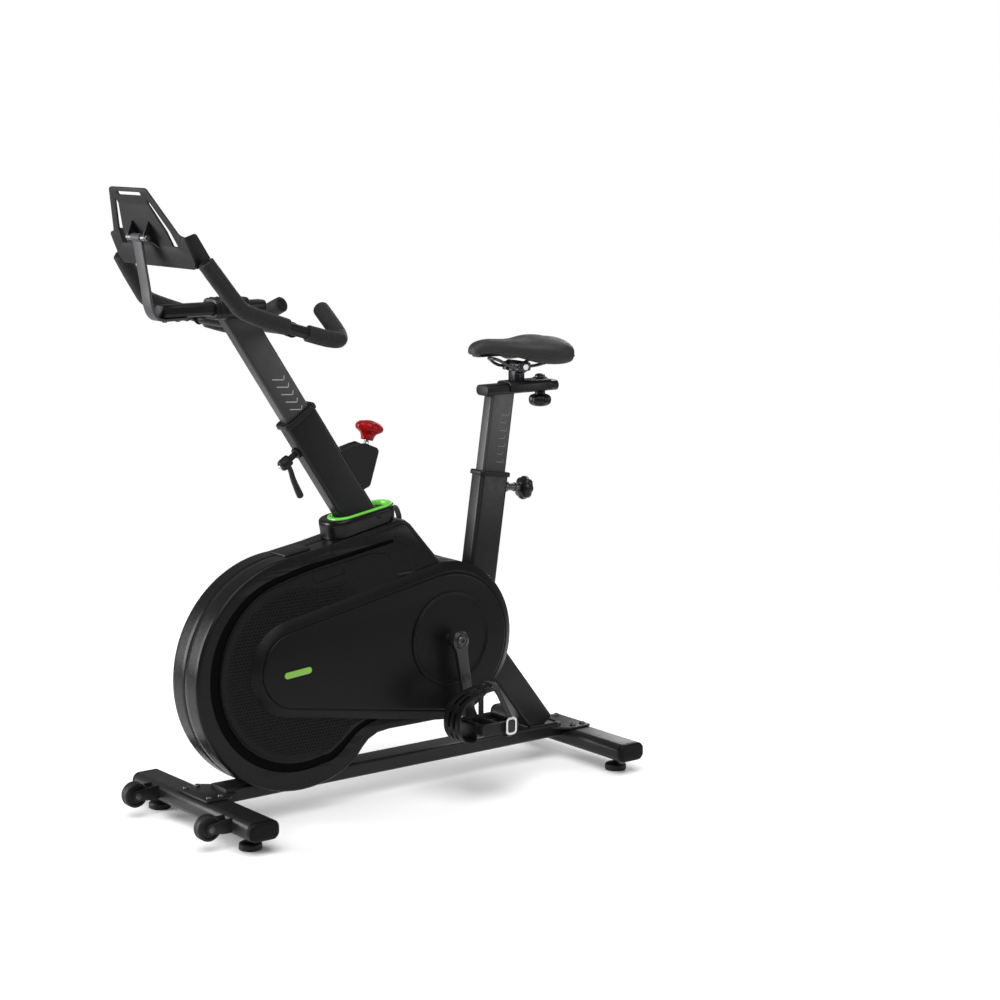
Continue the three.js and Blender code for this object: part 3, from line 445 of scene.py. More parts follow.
def curve(points, steps):
    """centripetal curve through the points, sampled evenly"""
    pts = [Vector(p) for p in points]
    ext_pts = [pts[0] * 2 - pts[1]] + pts + [pts[-1] * 2 - pts[-2]]
    fine = []
    for i in range(1, len(ext_pts) - 2):
        p0, p1, p2, p3 = ext_pts[i - 1:i + 3]
        t0 = 0.0
        t1 = t0 + max(1e-6, (p1 - p0).length) ** 0.5
        t2 = t1 + max(1e-6, (p2 - p1).length) ** 0.5
        t3 = t2 + max(1e-6, (p3 - p2).length) ** 0.5
        for k in range(20):
            t = t1 + (t2 - t1) * k / 20
            a1 = p0 * ((t1 - t) / (t1 - t0)) + p1 * ((t - t0) / (t1 - t0))
            a2 = p1 * ((t2 - t) / (t2 - t1)) + p2 * ((t - t1) / (t2 - t1))
            a3 = p2 * ((t3 - t) / (t3 - t2)) + p3 * ((t - t2) / (t3 - t2))
            b1 = a1 * ((t2 - t) / (t2 - t0)) + a2 * ((t - t0) / (t2 - t0))
            b2 = a2 * ((t3 - t) / (t3 - t1)) + a3 * ((t - t1) / (t3 - t1))
            fine.append(b1 * ((t2 - t) / (t2 - t1)) + b2 * ((t - t1) / (t2 - t1)))
    fine.append(pts[-1])
    acc = [0.0]
    for a, b in zip(fine, fine[1:]):
        acc.append(acc[-1] + (b - a).length)
    out, j = [], 0
    for k in range(steps + 1):
        d = acc[-1] * k / steps
        while j < len(acc) - 2 and acc[j + 1] < d:
            j += 1
        f = 0 if acc[j + 1] == acc[j] else (d - acc[j]) / (acc[j + 1] - acc[j])
        out.append(fine[j].lerp(fine[j + 1], min(1, max(0, f))))
    return out, acc[-1]


def sweep(points, section, steps, t0=0.0, t1=1.0, dome=0.0, up=(0, 0, 1), ribs=None):
    """section: radius or list of (u, v); dome rounds both ends over that many mm"""
    line, length = curve(points, 400)
    line = line[int(round(t0 * 400)):int(round(t1 * 400)) + 1]
    seg = length * (t1 - t0)
    marks = []
    if dome:
        for i in range(7):
            a = math.pi / 2 * i / 6
            marks.append((dome * (1 - C(a)), max(0.02, S(a))))
    body = [(dome + (seg - 2 * dome) * i / steps, 1.0) for i in range(1 if dome else 0, steps if dome else steps + 1)]
    tail = [(seg - s, k) for s, k in reversed(marks)]
    stations = marks + body + tail
    if isinstance(section, (int, float)):
        section = circ(section, 24)
    rings, n = [], len(line) - 1
    side_v = None
    for s, k in stations:
        f = max(0, min(n, s / seg * n))
        i = min(n - 1, int(f))
        p = line[i].lerp(line[i + 1], f - i)
        lo, hi = max(0, i - 3), min(n, i + 4)
        t = (line[hi] - line[lo]).normalized()
        if side_v is None:
            side_v = Vector(up).cross(t)
            if side_v.length < 1e-3:
                side_v = Vector((0, 1, 0)).cross(t)
            side_v.normalize()
        side_v = (side_v - t * side_v.dot(t)).normalized()
        nrm = t.cross(side_v)
        kk = k if ribs is None else k * ribs(s)
        rings.append([tuple(p + side_v * (u * kk) + nrm * (v * kk)) for u, v in section])
    return loft(rings)


def mirror(g):
    v, f = g
    return [(x, -y, z) for x, y, z in v], f


def shift(g, dx=0, dy=0, dz=0):
    v, f = g
    return [(x + dx, y + dy, z + dz) for x, y, z in v], f


def strip(line, t):
    left, right = [], []
    for i, p in enumerate(line):
        a, b = line[max(0, i - 1)], line[min(len(line) - 1, i + 1)]
        l = math.hypot(b[0] - a[0], b[1] - a[1])
        nx, nz = -(b[1] - a[1]) / l, (b[0] - a[0]) / l
        left.append((p[0] + nx * t / 2, p[1] + nz * t / 2))
        right.append((p[0] - nx * t / 2, p[1] - nz * t / 2))
    return left + right[::-1]


def box(x0, x1, y0, y1, z0, z1):
    return prism([(x0, z0), (x1, z0), (x1, z1), (x0, z1)], y0, y1)


MADE = []


def mesh_of(name, geos):
    verts, faces = [], []
    for v, f in geos:
        k = len(verts)
        verts += [P(p) for p in v]
        faces += [tuple(k + i for i in t) for t in f]
    me = bpy.data.meshes.new(name)
    me.from_pydata(verts, [], faces)
    bm = bmesh.new()
    bm.from_mesh(me)
    bmesh.ops.remove_doubles(bm, verts=bm.verts, dist=1e-6)
    bmesh.ops.dissolve_degenerate(bm, edges=bm.edges, dist=1e-7)
    bmesh.ops.recalc_face_normals(bm, faces=bm.faces)
    bm.to_mesh(me)
    bm.free()
    return me


def piece(name, geos, body, mat, rep=(), bevel=0.0, seg=3, angle=32, sharp=38, sub=0, cuts=(), after=0.0):
    if isinstance(geos, tuple):
        geos = [geos]
    ob = bpy.data.objects.new(name, mesh_of(name, geos))
    COL.objects.link(ob)
    ob.data.materials.append(M[mat])
    helpers = []
    if bevel:
        b = ob.modifiers.new("b", "BEVEL")
        b.width = bevel / 1000
        b.segments = seg
        b.limit_method = "ANGLE"
        b.angle_limit = rad(angle)
        b.use_clamp_overlap = True
        b.harden_normals = False
    if sub:
        s = ob.modifiers.new("s", "SUBSURF")
        s.levels = s.render_levels = sub
    for i, c in enumerate(cuts):
        tool = bpy.data.objects.new(name + "_tool", mesh_of(name + "_tool", [c]))
        COL.objects.link(tool)
        helpers.append(tool)
        k = ob.modifiers.new("c", "BOOLEAN")
        k.operation = "DIFFERENCE"
        k.solver = "EXACT"
        k.object = tool
    if after:
        b = ob.modifiers.new("b2", "BEVEL")
        b.width = after / 1000
        b.segments = 2
        b.limit_method = "ANGLE"
        b.angle_limit = rad(50)
        b.use_clamp_overlap = True
    if ob.modifiers:
        dg = bpy.context.evaluated_depsgraph_get()
        me = bpy.data.meshes.new_from_object(ob.evaluated_get(dg))
        ob.modifiers.clear()
        ob.data = me
    for t in helpers:
        bpy.data.objects.remove(t)
    ob.data.shade_smooth()
    ob.data.set_sharp_from_angle(angle=rad(sharp))
    if not ob.data.materials:
        ob.data.materials.append(M[mat])
    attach(ob, body)
    if rep:
        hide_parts(*rep)
    MADE.append(ob)
    return ob


def hexbolt(to, r=5.0, h=4.0, w0=0.0):
    """button-head screw with a hex socket, standing on w0"""
    prof = [(0, w0 - 0.5), (r, w0 - 0.5), (r, w0 + h * 0.35), (r * 0.92, w0 + h * 0.7), (r * 0.72, w0 + h * 0.95), (r * 0.56, w0 + h), (r * 0.5, w0 + h)]
    inner = [(r * 0.46, w0 + h * 0.45), (0, w0 + h * 0.4)]
    return lathe(prof + inner, 24, to)



# ------------------------------------------------------------------ outlines shared with the frame
HEAD = leaned(-322, 0, 785, -33.5)
SEAT = leaned(151.4, 0, 627, 8.5)
TAIL = (0, 305, 165)


def tube_way(w, d, low, to):
    """solid that clears the way of a frame tube through the casing"""
    return ext(rrect(w + 0.3, d + 0.3, 9.1, 10), low, 6, to)



def case_outline():
    out = arc(0, 305, 165, -92, 93, 48)
    out += [(-40, 505), (-84, 556), (-98, 566), (-114, 567)]
    out += [(-200, 550), (-290, 532)]
    out += arc(-352, 285, 235, 94, 297, 72)
    out += [(-222, 92), (-206, 112), (-190, 127), (-168, 137), (-140, 140)]
    return out


def tear(big, small, sx=-372, sz=300):
    dx, dz = sx, sz - 305
    d = math.hypot(dx, dz)
    base, off = math.atan2(dz, dx), math.acos((big - small) / d)
    a0, a1 = math.degrees(base + off), math.degrees(base - off)
    s, e = a0, a1
    while e > s:
        e -= 360
    return arc(0, 305, big, s, e + 360, 64) + arc(sx, sz, small, e + 360, s + 360, 40)


# ------------------------------------------------------------------ casing
OUT = case_outline()
def groove_line():
    """centre line and width of the groove: narrow along the top, wide round the front, narrow again at the notch"""
    top = [(-132, 526.5, 7), (-150, 524, 8.5), (-170, 521, 9), (-216, 513.5, 9), (-262, 506, 9.5), (-307, 499.5, 11), (-340, 494, 13)]
    turn = [(x, z, 13 + 9 * min(1.0, i / 13) - 5 * max(0.0, (i - 17) / 19)) for i, (x, z) in enumerate(arc(-354, 292, 193.2, 101, 284, 36))]
    low = [(-283, 108, 17), (-266, 118, 17), (-248, 132, 15), (-230, 147, 13), (-210, 159, 12), (-188, 166, 11), (-164, 171, 10), (-134, 175, 9)]
    pts = top + turn + low
    line = [Vector((x, w, z)) for x, z, w in pts]
    fine = curve(line, 170)[0]
    return [((p.x, p.z), p.y) for p in fine]


HATCH_UPPER = [[(-342.8, 508.4), (-340, 505)], [(-269.5, 513), (-278.5, 521.8)]]
HATCH_LOWER = [[(-327.5, 478.3), (-319.5, 467.5), (-316, 465.6), (-307.5, 465.6), (-251, 475.6)], [(-249.5, 480), (-253.5, 486)]]


def smooth2(path, steps):
    return [(p.x, p.z) for p in curve([(x, 0, z) for x, z in path], steps)[0]]


def slot_of(path, t):
    """closed outline of a slot that follows a path, with round ends; t is its width, or one per point"""
    n = len(path)
    ts = [t] * n if isinstance(t, (int, float)) else list(t)
    left, right = [], []
    for i, p in enumerate(path):
        a, b = path[max(0, i - 1)], path[min(n - 1, i + 1)]
        l = math.hypot(b[0] - a[0], b[1] - a[1])
        nx, nz = -(b[1] - a[1]) / l, (b[0] - a[0]) / l
        left.append((p[0] + nx * ts[i] / 2, p[1] + nz * ts[i] / 2))
        right.append((p[0] - nx * ts[i] / 2, p[1] - nz * ts[i] / 2))
    right.reverse()

    def cap(p, c, r):
        a0 = math.atan2(p[1] - c[1], p[0] - c[0])
        return [(c[0] + r * C(a0 - math.pi * k / 6), c[1] + r * S(a0 - math.pi * k / 6)) for k in range(1, 6)]
    return left + cap(left[-1], path[-1], ts[-1] / 2) + right + cap(right[-1], path[0], ts[0] / 2)


def casing(sgn, name):
    shoulder = [(41.5 + 6.5 * S(rad(a)), 6.5 * (1 - C(rad(a)))) for a in range(0, 91, 10)]
    prof = [(44.0, 16), (34, 3.5), (0.6, 3.5), (0.3, 1.6), (0.3, 1.2), (2.2, 0.0), (12, 0.0), (24, 0.0), (34, 0.0)] + shoulder + [(48, 9.4), (45.0, 9.6)]
    rings = [ring_y(inset(OUT, d), sgn * y) for y, d in prof]
    skin = inset(OUT, 9.5)
    gl = groove_line()
    groove = slot_of([p for p, _ in gl], [w for _, w in gl])
    holes = [groove]
    if sgn < 0:
        for path in HATCH_UPPER:
            holes.append(slot_of(path, 1.5))
    side_to = (lambda u, v, w: (u, sgn * w, v))
    piece(name + "_casing_skin", ext(skin, 45.0, 48.0, side_to, holes), "frame", "shell", bevel=0.7, seg=2, angle=50, sharp=22)
    # near-black liner laid on the groove's floor so that the groove reads dark: painted shade
    shade_liner = slot_of([p for p, _ in gl], [w - 0.5 for _, w in gl])
    piece(name + "_groove_shade_liner", ext(shade_liner, 45.0, 45.5, side_to), "frame", "painted_shade", sharp=30)
    return piece(name + "_casing_shell", loft(rings), "frame", "shell", [name + "_casing"], sharp=34,
                 cuts=[tube_way(76, 40, -546, HEAD), tube_way(72, 40, -328, SEAT)])


PANEL = arc(-354, 292, 181, 112, 292, 60) + [(-262, 138), (-236, 162), (-205, 172), (-170, 176), (-120, 200), (-120, 470), (-150, 503), (-180, 507), (-260, 495), (-350, 481)]


def side_panel(sgn, name):
    a, b = (48.3, 51.5)
    rows = [(a, 0.0), (a + 0.8, 0.0), (a + 1.8, 0.35), (a + 2.6, 1.1), (b - 0.1, 2.4), (b, 3.9), (b - 0.9, 4.0)]
    holes = [slot_of(path, 2.6) for path in HATCH_LOWER] if sgn < 0 else []
    piece(name + "_panel_face", ext(inset(PANEL, 4.06), 50.6, 51.5, (lambda u, v, w: (u, sgn * w, v)), holes), "frame", "panel", sharp=30)
    return piece(name + "_studded_panel", loft([ring_y(inset(PANEL, d), sgn * y) for y, d in rows]), "frame", "panel", [name + "_side_panel"], sharp=60)


def drive_cover(sgn, name):
    rows = [(60, 30), (50, 6), (48.3, 3), (48.3, 0.8), (48.8, 0.1), (49.6, 0.0), (50.8, 0.5), (52.2, 1.7), (61.2, 16.2), (62.2, 18.2), (62.6, 20.2),
            (62.4, 21.2), (61.2, 21.5), (61.2, 22.6), (63.2, 22.9), (64.4, 23.6), (65.4, 25.2), (66.0, 28.0)]
    g = loft([ring_y(tear(165 - d, 99 - d), sgn * y) for y, d in rows])
    to = (lambda u, v, w: (u, sgn * w, 314 + v))
    prof = [(16, 60.5), (95.6, 60.5), (96.4, 66.2), (96.6, 68.6), (95.8, 69.8), (94.2, 70.2), (92.6, 69.6), (85.4, 64.0), (84.2, 63.4), (82.6, 63.3), (81.6, 63.9), (80.2, 64.5), (70, 65.0), (58, 65.4), (46.6, 65.6), (44.2, 65.5),
            (42.4, 65.0), (41.4, 63.9), (40.8, 62.2), (40.0, 61.4), (38.6, 61.1), (30, 61.0), (19, 61.0), (16.6, 60.9), (16, 60.8)]
    disc = lathe(prof, 96, to, closed=True)
    a = piece(name + "_cover_shell", g, "frame", "cover", [name + "_drive_cover"], sharp=40)
    b = piece(name + "_crank_dish", disc, "frame", "cover", sharp=50)
    return a, b


for sgn, name in ((-1, "left"), (1, "right")):
    casing(sgn, name)
    side_panel(sgn, name)
    drive_cover(sgn, name)

pill = arc(25, 0, 6.4, -90, 90, 14) + arc(-25, 0, 6.4, 90, 270, 14)
c5, s5 = C(rad(4.8)), S(rad(4.8))
piece("light_window", loft([[(-370 + u * k * c5 - v * k * s5, -y, 294 + u * k * s5 + v * k * c5) for u, v in pill] for y, k in ((65.6, 1.0), (66.9, 1.0), (67.6, 0.975), (67.9, 0.92))]),
      "frame", "lens", ["light_lens"], sharp=60)
bez = arc(25, 0, 7.5, -90, 90, 14) + arc(-25, 0, 7.5, 90, 270, 14)
piece("light_bezel", ext([(u * c5 - v * s5, u * s5 + v * c5) for u, v in bez], -66.4, -65.6, (lambda u, v, w: (-370 + u, w, 294 + v)),
      [[(u * c5 - v * s5, u * s5 + v * c5) for u, v in arc(25, 0, 6.5, -90, 90, 14) + arc(-25, 0, 6.5, 90, 270, 14)]]), "frame", "moulded", bevel=0.25, seg=2)

# collar, trim ring and hatch
def seat_line(x):
    return 531.5 + (x + 290) * 0.2018 + 1.6


def collar_ring(z, w0, w1, half, r):
    return [(x, y, z(x)) for x, y in rrect(w1 - w0, 2 * half, r, 10, (w0 + w1) / 2, 0)]


top_z = (lambda x: 574 + (x + 263) * 0.164)
fr = (lambda f, d=0.0: (lambda x: seat_line(x) + (top_z(x) - seat_line(x)) * f + d))
rows = [(seat_line, -261, -104, 40, 34), (fr(0.0, 3.0), -261, -104, 40.4, 34.4), (fr(0.30), -261.4, -104, 41.2, 35.4), (fr(0.62), -263.2, -104.6, 43.0, 37.2), (fr(0.74), -263.9, -105, 43.8, 38), (fr(0.88), -264, -105, 44, 38),
        (fr(1.0, -2.2), -263.4, -105.6, 43.4, 37.6), (fr(1.0, -0.7), -262.2, -106.8, 42.2, 36.8), (fr(1.0, 0), -260, -108.6, 40.4, 35.6), (fr(1.0, -0.2), -250.6, -105.4, 34.6, 31.2), (fr(1.0, -1.0), -248.0, -106.6, 33.8, 30.6), (fr(1.0, -6.6), -247.6, -106.6, 33.5, 30.5)]
piece("tower_collar_shell", loft([collar_ring(*r) for r in rows]), "frame", "collar", ["tower_collar"], sharp=50, cuts=[tube_way(76, 40, -546, HEAD)])
piece("collar_screw", lathe([(0, 42.4), (4.4, 42.4), (4.6, 44.0), (3.8, 44.4), (3.0, 44.2), (2.6, 43.2), (0, 43.0)], 28, (lambda u, v, w: (-159.6 + u, -w, 577.8 + v))), "frame", "rubber", sharp=40)
rise = (lambda d: (lambda x: top_z(x) + d))
def ring_plan(g, d):
    return collar_ring(rise(d), -247 - g, -107 + g, 33 + g, 30 + g)
outer = [ring_plan(0, -6.4), ring_plan(0, 0.4), ring_plan(-0.5, 1.4), ring_plan(-1.6, 2.0)]
inner = [ring_plan(-7.6, 2.0), ring_plan(-8.6, 1.4), ring_plan(-9, 0.4), ring_plan(-9, -6.4)]
v, f = loft(outer + inner)
n0 = len(outer[0])
f = f[:-2] + [(i, (i + 1) % n0, 7 * n0 + (i + 1) % n0, 7 * n0 + i) for i in range(n0)]
# the ring's material glows faintly: painted light
piece("green_ring", (v, f), "frame", "green", ["trim_ring"], sharp=50)
piece("hatch_cover", loft([[(-342.5 + u, v, 525.4 + (u * 0.1595) + h) for u, v in rrect(59 - k, 60 - k, 6, 6)] for h, k in ((-1.2, 0), (0.9, 0), (1.5, 0.5), (1.8, 1.6))]), "frame", "moulded", ["access_hatch"], sharp=45)

# ------------------------------------------------------------------ frame tubes, plates and fasteners
def tube(w, d, r, z0, z1, to, n=10):
    return ext(rrect(w, d, r, n), z0, z1, to)


# small plastic plugs of the two tubes and weld beads are separate shells of the frame
def bead(points, r=2.6, steps=140):
    line, length = curve(points, steps)
    rings = []
    sec = circ(r, 10)
    side_v = None
    for i, p in enumerate(line):
        t = (line[min(len(line) - 1, i + 1)] - line[max(0, i - 1)]).normalized()
        if side_v is None:
            side_v = Vector((0.3, 0.2, 1)).cross(t).normalized()
        side_v = (side_v - t * side_v.dot(t)).normalized()
        nrm = t.cross(side_v)
        k = 1 + 0.12 * S(i * 1.9)
        rings.append([tuple(p + side_v * u * k + nrm * v * k) for u, v in sec])
    return loft(rings)


strut = leaned(94, 0, 312, -37.9)
piece("head_tube", ext(rrect(76, 40, 9, 10), -540, -0.2, HEAD, [rrect(71, 35, 6.5, 10)]), "frame", "paint", ["main_frame"], bevel=0.8, seg=2)
piece("seat_tube", ext(rrect(72, 40, 9, 10), -322, -0.2, SEAT, [rrect(67, 35, 6.5, 10)]), "frame", "paint", bevel=0.8, seg=2)
piece("rear_strut", tube(60, 50, 7, -297, -40, strut), "frame", "paint", bevel=0.5, seg=2)
piece("base_rail", ext(rrect(60, 30, 6, 8), -516, 321, ax_x(0, 62)), "frame", "paint", bevel=0.5, seg=2)
piece("bottom_bracket", lathe([(20.4, -24), (26, -24), (26.4, -23), (26.4, 23), (26, 24), (20.4, 24)], 48, ax_y(0, 314), closed=True), "frame", "paint", sharp=40)
for x, sgn in ((-550, 1), (355, -1)):
    plate = rounded([(x - sgn * 26, -58), (x + sgn * 26, -58), (x + sgn * 60, -28), (x + sgn * 60, 28), (x + sgn * 26, 58), (x - sgn * 26, 58)], 5, 5)
    nm = "front" if sgn > 0 else "rear"
    piece(nm + "_plate", ext(plate, 65.35, 70, ax_z(0, 0)), "frame", "paint", bevel=1.0, seg=3)
    bolts = []
    for by in (-44, 44):
        for bx in (-13, 13):
            bolts.append(hexbolt(ax_z(x + sgn * bx, by), 6.2, 4.4, 70.2))
    piece(nm + "_plate_bolts", bolts, "frame", "dark_steel", sharp=35)
    line = [(x + sgn * 60.4, -31.2, 71), (x + sgn * 60.4, -31.2, 60), (x + sgn * 60.4, -31.2, 50)]
# weld beads: rear strut on the rail, rail on the plates
c38, s38 = C(rad(-37.9)), S(rad(-37.9))
zt = 77.6
foot_x = 94 + (312 - zt) * math.tan(rad(37.9))
hw = 30 / c38
piece("strut_weld", bead([(foot_x - hw + 2, -25.6, zt), (foot_x + hw - 3, -25.6, zt), (foot_x + hw + 0.4, -22, zt), (foot_x + hw + 0.4, 22, zt), (foot_x + hw - 3, 25.6, zt), (foot_x - hw + 2, 25.6, zt), (foot_x - hw - 0.8, 22, zt), (foot_x - hw - 0.8, -22, zt)], 2.4, 160),
      "frame", "paint", sharp=80)
for x, sg in ((-489.6, 1), (294.6, -1)):
    for s in (-1, 1):
        piece("rail_weld_%s_%s" % ("front" if sg > 0 else "rear", "left" if s < 0 else "right"),
              bead([(x - sg * 22, s * 30.6, 71.2), (x, s * 30.6, 71.2), (x + sg * 1.4, s * 28, 71.6)], 2.0, 40), "frame", "paint", sharp=80)

# plastic guides
def guide(name, to, w, d, w2, d2, node):
    rows = [(-60, w, d, 6), (0.3, w, d, 6), (0.3, w2 - 1, d2 - 1, 9), (1.2, w2, d2, 9.4), (7.6, w2, d2, 9.4), (9.4, w2 - 1.4, d2 - 1.4, 9), (10, w2 - 3.6, d2 - 3.6, 8.4)]
    hole = [(10, 63.4, 33.4, 6), (8.8, 61.4, 31.4, 5.2), (-60, 61.0, 31.0, 5)]
    rings = [[to(u, v, h) for u, v in rrect(a, b, r, 8)] for h, a, b, r in rows + hole]
    v, f = loft(rings)
    n = len(rings[0])
    f = f[:-2]
    k = len(rings) - 1
    f += [(i, (i + 1) % n, k * n + (i + 1) % n, k * n + i) for i in range(n)]
    return piece(name, (v, f), "frame", "moulded", [node], sharp=42)


guide("head_tube_guide", HEAD, 70.2, 34.2, 82, 46, "head_guide")
guide("seat_tube_guide", SEAT, 66.2, 34.2, 79, 46, "seat_guide")

# stabilisers
sec = rrect(66, 38, 15, 10, 0, 46)
for x, nm in ((-550, "front"), (355, "rear")):
    geos = [ext(sec, -214, 214, (lambda u, v, w, x=x: (x + u, w, v)))]
    if nm == "front":
        for s in (-1, 1):
            for o in (-1, 1):
                y = s * 139 + o * 14
                o2 = rounded([(x - 20, 33), (x - 20, 61), (x - 42, 61), (-630, 57), (-634.5, 47), (-630, 37), (x - 42, 33)], [0, 0, 10, 8, 12, 8, 10], 6)
                geos.append(ext(o2, y - 2, y + 2, side))
    piece(nm + "_stabiliser_tube", geos, "frame", "paint", [nm + "_stabiliser"], bevel=0.5, seg=2)
    for s, sd in ((-1, "left"), (1, "right")):
        prof = [(0.3, 0.4), (0.8, 0), (6.5, 0), (8.6, 0.9), (10.4, 2.8), (11.6, 5.4), (12, 9)]
        rings = [[(x + u, s * (214 + y), v) for u, v in inset(sec, d)] for y, d in prof]
        piece("%s_%s_end_cap" % (nm, sd), loft(rings), "frame", "cap", ["%s_%s_cap" % (nm, sd)], sharp=50)
for s, sd in ((-1, "left"), (1, "right")):
    bolt = lathe([(0, -18.5), (5, -18.5), (6.6, -18), (6.6, -16.2), (4, -16), (4, 16), (7, 16.2), (7, 19.2), (5.8, 20), (0, 20)], 6 * 5, ax_y(-624, 47))
    piece(sd + "_wheel_bolt", shift(bolt, 0, s * 139, 0), "frame", "dark_steel", sharp=35)
    hub = [(4.3, -11), (9, -11), (10, -10.4), (10.4, -8.2), (18.4, -8.2), (19.2, -10.2), (20.4, -11), (22.4, -10.9), (24.4, -9.6), (25.4, -7.4), (25.5, -4), (25.5, -1.0), (25.1, -0.6), (25.1, 0.6), (25.5, 1.0), (25.5, 4), (25.4, 7.4), (24.4, 9.6), (22.4, 10.9), (20.4, 11), (19.2, 10.2), (18.4, 8.2), (10.4, 8.2), (10, 10.4), (9, 11), (4.3, 11)]
    piece(sd + "_transport_wheel", shift(lathe(hub, 64, ax_y(-624, 47), closed=True), 0, s * 139, 0), sd + "_wheel_unit", "rubber", [sd + "_wheel"], sharp=45)
for x, nm in ((-550, "front"), (355, "rear")):
    for s, sd in ((-1, "left"), (1, "right")):
        n, verts_rows = 72, []
        prof = [(0, 0), (20.6, 0), (21.8, 0.4), (22.4, 1.4), (22.5, 3), (22.5, 8.6), (22.1, 10.4), (21.0, 12), (17.5, 14), (12, 15.2), (9, 15.6), (9, 17), (5.2, 17.2), (5.2, 52), (0, 52)]
        v, f = lathe(prof, n, ax_z(0, 0))
        out = []
        for px, py, pz in v:
            r = math.hypot(px, py)
            if 22.2 < r < 22.6 and 2.5 < pz < 9.5:
                a = math.atan2(py, px)
                k = 1 - 0.028 * (0.5 + 0.5 * C(a * 24)) ** 2
                px, py = px * k, py * k
            out.append((x + px, s * 171 + py, pz))
        piece("%s_%s_levelling_foot" % (nm, sd), (out, f), "%s_%s_foot_unit" % (nm, sd), "rubber", ["%s_%s_foot" % (nm, sd)], sharp=42)

# ------------------------------------------------------------------ resistance knob, bracket, lever
KN = leaned(-161, 0, 716, 14.5)
br = rounded([(-190, 719.5), (-176, 722), (-143, 708), (-165, 640), (-180, 634), (-236, 708)], [2, 5, 6, 6, 4, 2], 6)
piece("knob_tower", loft([ring_y(inset(br, d), y) for y, d in ((-17, 3.4), (-16.6, 1.8), (-15.4, 0.6), (-13.4, 0), (13.4, 0), (15.4, 0.6), (16.6, 1.8), (17, 3.4))]), "frame", "moulded", ["knob_bracket"], sharp=50)
piece("press_stem", lathe([(0, -30), (5, -30), (5, 9), (4.4, 10.4), (3.6, 11), (3.6, 38), (0, 38)], 32, KN), "stem", "steel", ["knob_stem"], sharp=40)


def red_knob():
    prof = [(4, 12), (11.4, 12), (12.4, 12.8), (13, 15), (13.4, 18.5), (14.8, 22), (18, 25.6), (23, 28.6), (26.8, 31), (28.8, 33.4), (29.8, 36.4), (29.6, 39.6), (28.4, 42.4), (26, 44.8), (22.4, 47.2), (18, 48.8), (16.8, 48.6), (15.8, 48.9), (10, 50.6), (5, 51.7), (0, 52)]
    v, f = lathe(prof + [], 96, lambda u, w, h: (u, w, h))
    out = []
    for x, y, z in v:
        r = math.hypot(x, y)
        if r > 17 and z > 25 and z < 45:
            a = math.atan2(y, x)
            k = 1 - 0.085 * (0.5 - 0.5 * C(a * 6)) ** 1.6
            x, y = x * k, y * k
        out.append(KN(x, y, z))
    return out, f


v, f = red_knob()
piece("red_resistance_knob", (v, f), "knob", "red", ["resistance_knob"], sharp=60)
LV = leaned(-322 + S(rad(-33.5)) * -56 - C(rad(-33.5)) * 38, 0, 785 + C(rad(-33.5)) * -56 + S(rad(-33.5)) * 38, -123.5)
lever = [lathe([(0, 0.3), (11, 0.3), (11.6, 1.2), (11.6, 5), (10.8, 6.2), (6.2, 7), (6.2, 21.6), (10.4, 22.6), (11.6, 24), (12, 30), (12, 40), (11.2, 44), (9.4, 46.2), (7, 47), (0, 47)], 48, LV),
         ]
piece("lever_hub", lever, "lever", "moulded", ["clamp_lever"], sharp=45)
lp = [LV(0, 0, 33), LV(-16, 0, 32), LV(-40, 0, 38), LV(-80, 0, 44)]
def lever_swell(s):
    return 0.92 + 0.34 * max(0, min(1, (s - 18) / 50.0)) ** 1.5
piece("lever_handle", sweep(lp, circ(5.6, 28), 40, dome=5.5, ribs=lever_swell), "lever", "knob", sharp=60)
piece("lever_screw", lathe([(0, 46), (4.4, 46), (4.4, 48.6), (3.4, 49.4), (2.4, 49.4), (2.2, 47.6), (0, 47.4)], 24, LV), "lever", "steel", sharp=35)

# ------------------------------------------------------------------ handlebar post, slider, bars
def clipped_post():
    # leaned post whose top follows the underside of the slider's cradle
    c, k = C(rad(-33.5)), S(rad(-33.5))
    o = rrect(60, 30, 6, 8)
    n = len(o)
    verts = [HEAD(u, v, -170) for u, v in o] + [HEAD(u, v, (991 - 785 + u * k) / c) for u, v in o]
    faces = [(i, (i + 1) % n, n + (i + 1) % n, n + i) for i in range(n)] + [tuple(range(n)), tuple(range(n, 2 * n))]
    return verts, faces


piece("bar_post_tube", clipped_post(), "bar_post", "post", ["handlebar_post"], bevel=0.4, seg=2)
cr = rounded([(-514, 988), (-440, 988), (-440, 1028), (-514, 1028)], 5.5, 6)
hole = [(y * 1.0, z) for y, z in rrect(41.6, 26.4, 11, 8, 0, 1008)]
sq = rrect(54, 40, 15, 8, 0, 1008)
def cradle():
    rows = [(-514, 1.6), (-513.4, 0.5), (-512, 0), (-442, 0), (-440.6, 0.5), (-440, 1.6)]
    rings = [[(x, y, z) for y, z in inset(sq, d)] for x, d in rows]
    inn = [[(x, y, z) for y, z in rrect(41.6, 26.4, 11, 8, 0, 1008)] for x in (-440, -514)]
    v, f = loft(rings + inn)
    n = len(rings[0])
    f = f[:-2]
    k = len(rings) + 1
    f += [(i, (i + 1) % n, k * n + (i + 1) % n, k * n + i) for i in range(n)]
    return v, f
piece("slider_cradle", cradle(), "bar_post", "paint", sharp=45)
for x in (-503, -490):
    piece("cradle_ring_%d" % -x, loft([[(x + u, y, z) for y, z in inset(sq, -d)] for u, d in ((-2.6, 0), (-1.9, 1.0), (0, 1.5), (1.9, 1.0), (2.6, 0))]), "bar_post", "paint", sharp=60)
oval = rrect(40, 25, 10.5, 10, 0, 1008)
piece("bar_slider", ext(oval, -618, -403, ax_x(0, 0)), "bars", "paint", ["handlebar"], bevel=0.4, seg=2)
